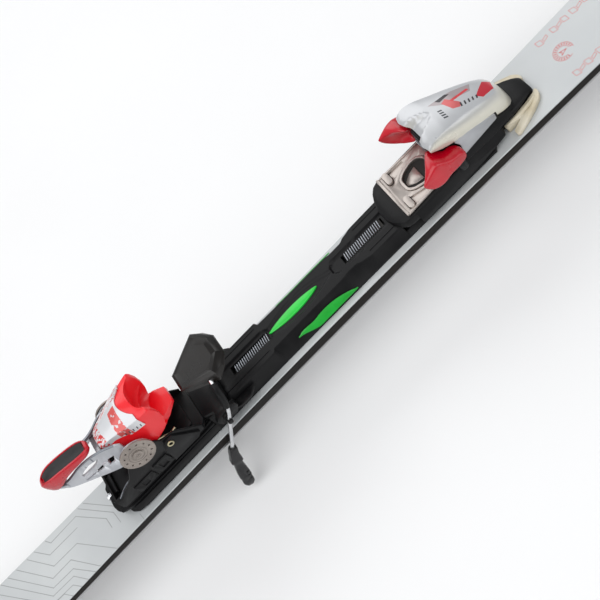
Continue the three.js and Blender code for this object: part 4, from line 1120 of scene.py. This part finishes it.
def make_disc():
    disc = rod("pivot_disc_right_look", 1, DISC_CENTRE, 17.7, -30.4, -28.75, 72)
    holes = []
    for i in range(12):
        angle = 0.94 - i * math.pi / 6
        centre = (DISC_CENTRE[0] + 13.4 * math.cos(angle), DISC_CENTRE[1] + 13.4 * math.sin(angle))
        holes.append(rod("hole", 1, centre, 1.05, -34, -20, 16))
    cut(disc, *holes, rod("centre", 1, DISC_CENTRE, 4.3, -34, -20, 32))
    for outer, inner in ((9.6, 9.1), (6.9, 6.4)):
        groove = cut(rod("groove", 1, DISC_CENTRE, outer, -34, -30.1, 64),
                     rod("inside", 1, DISC_CENTRE, inner, -36, -28, 64))
        cut(disc, groove)
    show_pair(bevel(disc, 0.35, 3, 40), "pivot_disc", BRONZE, "heel", "bronze", "pivot_disc")
    screw = rod("disc_screw_right_look", 1, DISC_CENTRE, 5.4, -31.4, -30.6, 40)
    join(screw, rod("shank", 1, DISC_CENTRE, 3.9, -31, -28.7, 32))
    cut(screw, rod("well", 1, DISC_CENTRE, 2.6, -33, -30.9, 32))
    bevel(screw, 0.2, 2, 40)
    cross = merged(box("cross", -179.9, -176.1, -31.1, -30.7, 63.6, 64.4),
                   box("bar", -178.4, -177.6, -31.1, -30.7, 62.1, 65.9))
    show_pair(merged(screw, cross), "disc_screw", BRONZE, "heel", "bronze", "disc_screw")
    backing = rod("disc_shadow_right", 1, DISC_CENTRE, 16.9, -28.7, -28.5, 48)
    show_pair(backing, "disc_shadow", HOLE_DARK, "heel", "black_plastic", None)


ARM_ROWS = [
    # place, then distance and height of the band's lower and upper edge
    (-180, 28.5, 54, 23.5, 82), (-184, 28.5, 56.5, 21.6, 84.2), (-190, 28.4, 60.6, 18.8, 84.6),
    (-197, 28.2, 64.6, 15.4, 84.6), (-205, 25.4, 65.6, 12.8, 85), (-212, 22.6, 66.4, 11.8, 86),
    (-220, 19.2, 67.4, 11, 86.4), (-228, 16.2, 68.8, 10.2, 85.6), (-236, 13, 70.2, 9.2, 83.2),
    (-243, 10.2, 71.4, 7.6, 80.8), (-250, 6.4, 73, 4.8, 79), (-254, 2, 74.4, 1, 78),
]


def make_lever():
    rings = []
    for x, low_y, low_h, high_y, high_h in smooth_rows(ARM_ROWS, 1.5):
        lean = Vector((high_y - low_y, high_h - low_h)).normalized()
        inward = Vector((-lean.y, lean.x)) * 1.9
        if inward.x > 0:
            inward = -inward
        fold = (high_y - 2.6, high_h + 0.6)
        rings.append([(x, -low_y, low_h), (x, -low_y - inward.x, low_h - inward.y),
                      (x, -fold[0] + 0.4, fold[1] - 2.2), (x, -fold[0], fold[1]),
                      (x, -high_y + 0.4, high_h + 0.5), (x, -high_y, high_h)])
    arm = loft("lever_frame_look", rings)
    windows = [[(-206.2, 81.6), (-211.6, 78.6), (-229, 76.4), (-230.6, 78), (-225.5, 80.8), (-217.3, 82.6)],
               [(-205.4, 75.6), (-209.2, 72.4), (-217.6, 72), (-216.6, 74.2), (-210.4, 75.4)],
               [(-193, 77), (-196.8, 72), (-204.2, 71.6), (-200.6, 77)],
               [(-219.4, 72), (-218.4, 73.6), (-230.6, 72.4), (-232.4, 71.2)]]
    for outline in windows:
        cut(arm, prism("window", arc_points(outline, 1.2, 3), 1, -40, -3))
    hub = rod("hub", 1, DISC_CENTRE, 16.2, -28.45, -26.4, 56)
    join(arm, hub)
    cut(arm, rod("bore", 1, DISC_CENTRE, 4.2, -40, -3))
    bevel(arm, 0.4, 2, 35)
    other = mirror_of(arm, "other_arm")
    bridge = loft("bridge", [[(x, -y, h0), (x, y, h0), (x, y, h1), (x, -y, h1)] for x, y, h0, h1 in (
        (-202.2, 21, 70, 76.6), (-208, 20, 70, 76.6))])
    rear = loft("rear", [[(-247.5, -8.4, 73.6), (-247.5, 8.4, 73.6), (-247.5, 8, 79.4), (-247.5, -8, 79.4)],
                         [(-254, -4.6, 75), (-254, 4.6, 75), (-254, 4.2, 79.6), (-254, -4.2, 79.6)],
                         [(-258, -2, 76.6), (-258, 2, 76.6), (-258, 2, 79.4), (-258, -2, 79.4)]])
    bevel(bridge, 0.8, 2)
    bevel(rear, 1, 3)
    lever = merged(arm, other, bridge, rear)
    lever.data.materials.append(LEVER)
    lever.data.materials.append(LEVER_DARK)
    rows = smooth_rows(ARM_ROWS, 1.5)
    for face in lever.data.polygons:
        x, y, h = face.center.x * 1000, abs(face.center.y * 1000), face.center.z * 1000 - DECK
        near = min(rows, key=lambda row: abs(row[0] - x))
        if -252 < x < -186 and near[4] - h < 2.6 and y < near[3] + 3:
            face.material_index = 1
    show(lever, LEVER, "lever", "lever_alloy", "lever_frame", sharp=32)


GRIP_ROWS = [
    # place, half width, skirt's height, rim's height
    (-205, 4.4, 88, 92.4), (-207.8, 7.4, 87.8, 93.4), (-212, 9.2, 87.8, 94.8), (-219, 10, 88.2, 96.4),
    (-229, 10.2, 88.4, 98.4), (-239, 10, 87.4, 100), (-248, 9.4, 84, 100.8), (-255, 7.4, 81.4, 100.4),
    (-260.4, 4.4, 83, 98.4), (-262.8, 2, 87, 95.6),
]


def make_grip():
    rows = smooth_rows(GRIP_ROWS, 1.4)
    rings = [[(x, 0.8 - half, low), (x, half - 0.8, low), (x, half, lerp(low, high, 0.35)),
              (x, half * 0.98, lerp(low, high, 0.75)), (x, half - 1, high - 0.3), (x, half - 2, high),
              (x, 2 - half, high), (x, 1 - half, high - 0.3), (x, -half * 0.98, lerp(low, high, 0.75)),
              (x, -half, lerp(low, high, 0.35))] if half > 2.6 else
             [(x, -0.3 * half, low), (x, 0.3 * half, low), (x, half, lerp(low, high, 0.35)),
              (x, half, lerp(low, high, 0.75)), (x, half * 0.8, high - 0.2), (x, half * 0.5, high),
              (x, -half * 0.5, high), (x, -half * 0.8, high - 0.2), (x, -half, lerp(low, high, 0.75)),
              (x, -half, lerp(low, high, 0.35))] for x, half, low, high in rows]
    grip = loft("lever_grip_look", rings)
    seat_rows = [(x, half, high) for x, half, low, high in rows if -258 < x < -207]
    seat = loft("seat", [[(x, 2.8 - half, high - 2.6), (x, half - 2.8, high - 2.6), (x, half - 2.3, high + 6),
                          (x, 2.3 - half, high + 6)] for x, half, high in seat_rows])
    cut(grip, seat)
    round_edges(grip, 0.5, 2, 40)
    show(grip, RED, "lever", "red_plastic", "lever_grip", sharp=40)
    rings = []
    for x, half, high in seat_rows[1:-1]:
        wide = half - 2.9
        top = [(x, wide * t, high - 0.9 - 1.5 * (1 - t * t)) for t in (1 - i / 4 for i in range(9))]
        rings.append([(x, -wide, high - 2.55), (x, wide, high - 2.55)] + top)
    show(loft("lever_pad_look", rings), RUBBER, "lever", "black_plastic", "lever_pad")


def make_heel_body():
    track = copy_of("heel_track_look", "heel_track")
    show(bevel(track, 0.6, 2), BLACK, "ski", "black_plastic", "heel_track")
    carriage = copy_of("heel_carriage_look", "heel_carriage")
    extras = [
        box("step", -214, -190, -27.2, 27.2, 18.4, 30),
        box("step", -232, -212, -25.6, 25.6, 18.4, 25),
        box("step", -186, -168, -27.4, 27.4, 18.4, 33),
        box("step", -158, -141, -27.6, 27.6, 18.4, 27.6),
    ]
    join(carriage, *extras)
    hollows = [box("hollow", -236, -126, -21, 21, 22.2, 60),
               box("slot", -206, -199, -29, -26.4, 20.5, 27.5), box("slot", -206, -199, 26.4, 29, 20.5, 27.5),
               box("slot", -181, -173, -29, -26.4, 21, 30), box("slot", -181, -173, 26.4, 29, 21, 30)]
    cut(carriage, *hollows)
    show(bevel(carriage, 0.8, 3, 28), BLACK, "heel", "black_plastic", "heel_carriage", sharp=34)
    path = [(-231, -24, 30.4), (-226, -22.4, 32), (-222, -19, 31), (-217, -16.6, 30.6), (-213, -18, 32),
            (-212.6, -22, 32), (-216, -24.6, 31.4), (-220.4, -23, 32.4)]
    hook = tube("spring_hook", path, 0.8)
    show(hook, LEVER_DARK, "heel", "steel")
    shelf = loft("rear_shelf", [[(-232, y, 22.2), (-205, y, 22.2), (-208, y, 30), (-228, y, 27)]
                                for y in (-21, -7, 7, 21)])
    show(bevel(shelf, 0.8, 2), BLACK, "heel", "black_plastic")
    latch = loft("rear_latch", [[(-243, -9, 19.6), (-243, 9, 19.6), (-240, 9, 25), (-240, -9, 25)],
                                [(-231, -12, 19.6), (-231, 12, 19.6), (-231, 12, 27.5), (-231, -12, 27.5)]])
    show(bevel(latch, 0.9, 3), BLACK, "heel", "black_plastic")
    for side, name in ((-1, "right"), (1, "left")):
        ring = rod(f"ring_pin_{name}_look", 1, (-154.5, 41.4), 3.5, *sorted((side * 29.05, side * 30.4)), 36)
        cut(ring, rod("well", 1, (-154.5, 41.4), 2.1, *sorted((side * 28, side * 32)), 24))
        show(bevel(ring, 0.3, 2), BRASS, "heel", "brass", f"ring_pin_{name}")
        strap = tube(f"cheek_strap_{name}", [(-165, side * 21.6, 49.4), (-160, side * 21.6, 48.2),
                                             (-154, side * 21.4, 44.5), (-149, side * 20.6, 41),
                                             (-143, side * 19, 40.6)], 1.5, 12)
        show(strap, BRASS, "heel", "brass")
        rivet = rod(f"plate_rivet_{name}", 2, (-236.4, side * 19.6), 1.5, 5.9, 6.9, 24)
        show(bevel(rivet, 0.3, 2), STEEL, "ski", "steel")
    strap = copy_of("heel_strap_look", "heel_strap")
    show(bevel(strap, 0.2, 2), BLACK, "heel", "brass", "heel_strap")
    axle = rod("heel_axle_look", 1, DISC_CENTRE, 3.8, -28.4, 28.4, 36)
    show(bevel(axle, 0.3, 2), STEEL, "heel", "steel", "heel_axle")
    paint("pressure_screw", STEEL)


# ---------- Brake ----------
def make_brake():
    base = copy_of("brake_base_look", "brake_base")
    show(bevel(base, 0.8, 3, 30), BLACK, "heel", "black_plastic", "brake_base")

    outline = [(-112, -11, 59.6), (-73.7, -28.2, 63.4), (-65.4, -21.6, 60.2), (-57.4, -11.3, 58.8),
               (-57.4, 11.3, 58.8), (-65.4, 21.6, 60.2), (-73.7, 28.2, 63.4), (-112, 11, 59.6)]
    inner = [(-109, -9.2, 61.2), (-75.2, -23.6, 65), (-69.6, -18.4, 64.6), (-62.2, -9.7, 64.2),
             (-62.2, 9.7, 64.2), (-69.6, 18.4, 64.6), (-75.2, 23.6, 65), (-109, 9.2, 61.2)]
    middle = [(-103, -6, 60.4), (-79, -17.4, 62.6), (-73.6, -13.8, 62.6), (-68, -7.6, 62.4), (-68, 7.6, 62.4),
              (-73.6, 13.8, 62.6), (-79, 17.4, 62.6), (-103, 6, 60.4)]
    lower = [(-113, -11.6, 55.6), (-76, -29, 52.8), (-64.6, -24, 56.6), (-56.8, -11.4, 57.5),
             (-56.8, 11.4, 57.5), (-64.6, 24, 56.6), (-76, 29, 52.8), (-113, 11.6, 55.6)]
    hollow = [(lerp(-84, x, 0.92), y * 0.9, h - 0.1) for x, y, h in lower]
    ceiling = [(lerp(-84, x, 0.86), y * 0.84, h - 1.6) for x, y, h in outline]
    pedal = loft("brake_pedal_look", [ceiling, hollow, lower, outline, inner, middle])
    cut(pedal, rod("journal", 1, (-84, 56), 2.5, -24.4, 24.4, 24))
    show(bevel(pedal, 0.5, 3, 12), BROWN_BLACK, "brake_pedal", "pedal_plastic", "brake_pedal", sharp=28)
    boss = join(rod("pedal_hinge", 1, (-84, 56), 3.3, -7.6, 7.6, 32),
                box("foot", -87, -81, -7.4, 7.4, 56, 61.4))
    cut(boss, rod("bore", 1, (-84, 56), 2.3, -30, 30, 24))
    show(bevel(boss, 0.4, 2), BLACK, "brake_pedal", "pedal_plastic")

    wire = [(-130.5, -39.5, -21), (-118, -39, -4), (-104, -38.7, 15), (-96, -38.5, 26), (-90, -36, 38),
            (-86, -31, 50), (-84, -24, 56), (-84, -15, 56), (-84, -4, 56)]
    arm = tube("brake_arm_right_look", wire, 2.1, 20, 1.2)
    show_pair(arm, "brake_arm", STEEL, "brake_arms", "steel", "brake_arm")
    path = [(-93.8, -37.7, 30.6), (-90, -36, 38), (-86, -31, 50), (-84.4, -26.4, 54.6)]
    sleeve = tube("brake_sleeve_right_look", path, 3.3, 20, 1.2)
    boss = bevel(rod("pivot_boss", 1, (-103, 16), 4.6, -36, -30.4, 36), 0.6, 2)
    show_pair(merged(sleeve, boss), "brake_sleeve", BLACK, "brake_arms", "black_plastic", None)
    outline = [(-106, -18), (-106, -26.4), (-95, -30.4), (-87.5, -33.6), (-74, -33.6), (-64.6, -26.4),
               (-72, -24.8), (-90, -24.6), (-92, -18)]
    flap = prism("brake_flap_right", arc_points(outline, 1.6), 2, 9.4, 12.2)
    show_pair(bevel(flap, 0.9, 3), "brake_flap", BLACK, "heel", "black_plastic", None)

    rows = [
        # place, distance, height, half size along and across
        (-126.2, 39.4, -15.4, 3.4, 3.4), (-127.4, 39.5, -17, 4, 3.9), (-130, 39.7, -20.6, 4.4, 4.2),
        (-132.4, 40, -25, 4.8, 4.4), (-134.8, 40.5, -29.4, 5.6, 4.5), (-135.8, 40.9, -31.6, 6.2, 4.5),
        (-136.4, 41.2, -33.2, 4.4, 4), (-137.8, 41.5, -36.4, 4.3, 4), (-139.4, 42, -40.6, 4.9, 4.3),
        (-141, 42.4, -45, 5.4, 4.5), (-142.8, 42.9, -49.4, 5.8, 4.5), (-144.4, 43.4, -53.6, 6.2, 4.5),
        (-145.2, 43.7, -55.8, 5.2, 4.2), (-146, 44, -58.2, 5.6, 4.2), (-147.4, 44.4, -61.6, 5.8, 4.2),
        (-148.6, 44.8, -65, 5, 3.8), (-149.8, 45, -68, 3.2, 2.8),
    ]
    rings = []
    for x, y, h, along, across in rows:
        dx, dh = along * math.cos(0.45), along * math.sin(0.45)
        soft = 0.72
        rings.append([(x - dx, -y - across * soft, h + dh), (x - dx * soft, -y - across, h + dh * soft),
                      (x + dx * soft, -y - across, h - dh * soft), (x + dx, -y - across * soft, h - dh),
                      (x + dx, -y + across * soft, h - dh), (x + dx * soft, -y + across, h - dh * soft),
                      (x - dx * soft, -y + across, h + dh * soft), (x - dx, -y + across * soft, h + dh)])
    tip = loft("brake_tip_right_look", rings)
    for k in range(3):
        x, y, h = -143 - 1.8 * k, 43, -48.5 - 5 * k
        notch = prism("notch", [(x + 2.6, h + 0.9), (x + 9, h - 1.4), (x + 9, h - 3.6), (x + 3, h - 1.1)],
                      1, -50, -36)
        cut(tip, notch)
    show_pair(bevel(tip, 0.45, 2, 30), "brake_tip", GLOSS_BLACK, "brake_arms", "black_plastic", "brake_tip")


make_ski()
make_graphics()
make_plate()
make_leaves()
make_rack("rack_rear_look", -72, -27, "rack_rear")
make_rack("rack_front_look", 76, 123, "rack_front")
make_toe_base()
make_afd()
make_cover()
make_toe_housing()
make_wings()
make_toe_details()
make_heel_housing()
make_disc()
make_lever()
make_grip()
make_heel_body()
make_brake()

# ---------- Stage, light and camera ----------
FLOOR_HALF, FLOOR_HEIGHT = 6000, -77
floor = made_object("floor", [(u * FLOOR_HALF, v * FLOOR_HALF, FLOOR_HEIGHT)
                              for u, v in ((-1, -1), (1, -1), (1, 1), (-1, 1))], [(0, 1, 2, 3)])
floor_look = surface("floor_pale", (0.93, 0.93, 0.93), (0.95, 0.95, 0.95), (0.7, 0.9), 0, 0, (400, 0.02), 3)
floor.data.materials.append(floor_look)


def area_light(name, place, target, size, power, colour=(1, 1, 1)):
    light = bpy.data.lights.new(name, "AREA")
    light.shape = "RECTANGLE"
    light.size, light.size_y = size
    light.energy = power
    light.color = colour
    obj = placed(name, light)
    obj.location = place
    obj.rotation_euler = (Vector(target) - Vector(place)).to_track_quat("-Z", "Y").to_euler()


area_light("key", (-0.9, -0.5, 1.9), (0, 0, 0), (2.4, 2.4), 30)
area_light("fill", (1.3, -1.2, 1.4), (0.1, 0, 0), (2.0, 1.6), 14)
area_light("rim", (0.3, 1.6, 1.3), (0.05, 0, 0.02), (2.6, 1.2), 16)

world = bpy.data.worlds.new("studio")
world.use_nodes = True
world.node_tree.nodes["Background"].inputs["Color"].default_value = (0.95, 0.97, 1, 1)
world.node_tree.nodes["Background"].inputs["Strength"].default_value = 0.36
bpy.context.scene.world = world
bpy.context.scene.view_settings.view_transform = "Standard"

lens = bpy.data.cameras.new("camera")
lens.lens = 75.03
lens.sensor_width = 36
lens.clip_start, lens.clip_end = 0.01, 100
camera = placed("camera", lens)
right = Vector((0.6911336, -0.4742096, -0.5453985))
up = Vector((0.7063281, 0.6030346, 0.3707423))
back = Vector((0.1530846, -0.6414628, 0.7517251))
turn = Matrix((right, up, back)).transposed()
camera.matrix_world = Matrix.Translation((0.196965, -0.744541, 0.904044)) @ turn.to_4x4()
bpy.context.scene.camera = camera
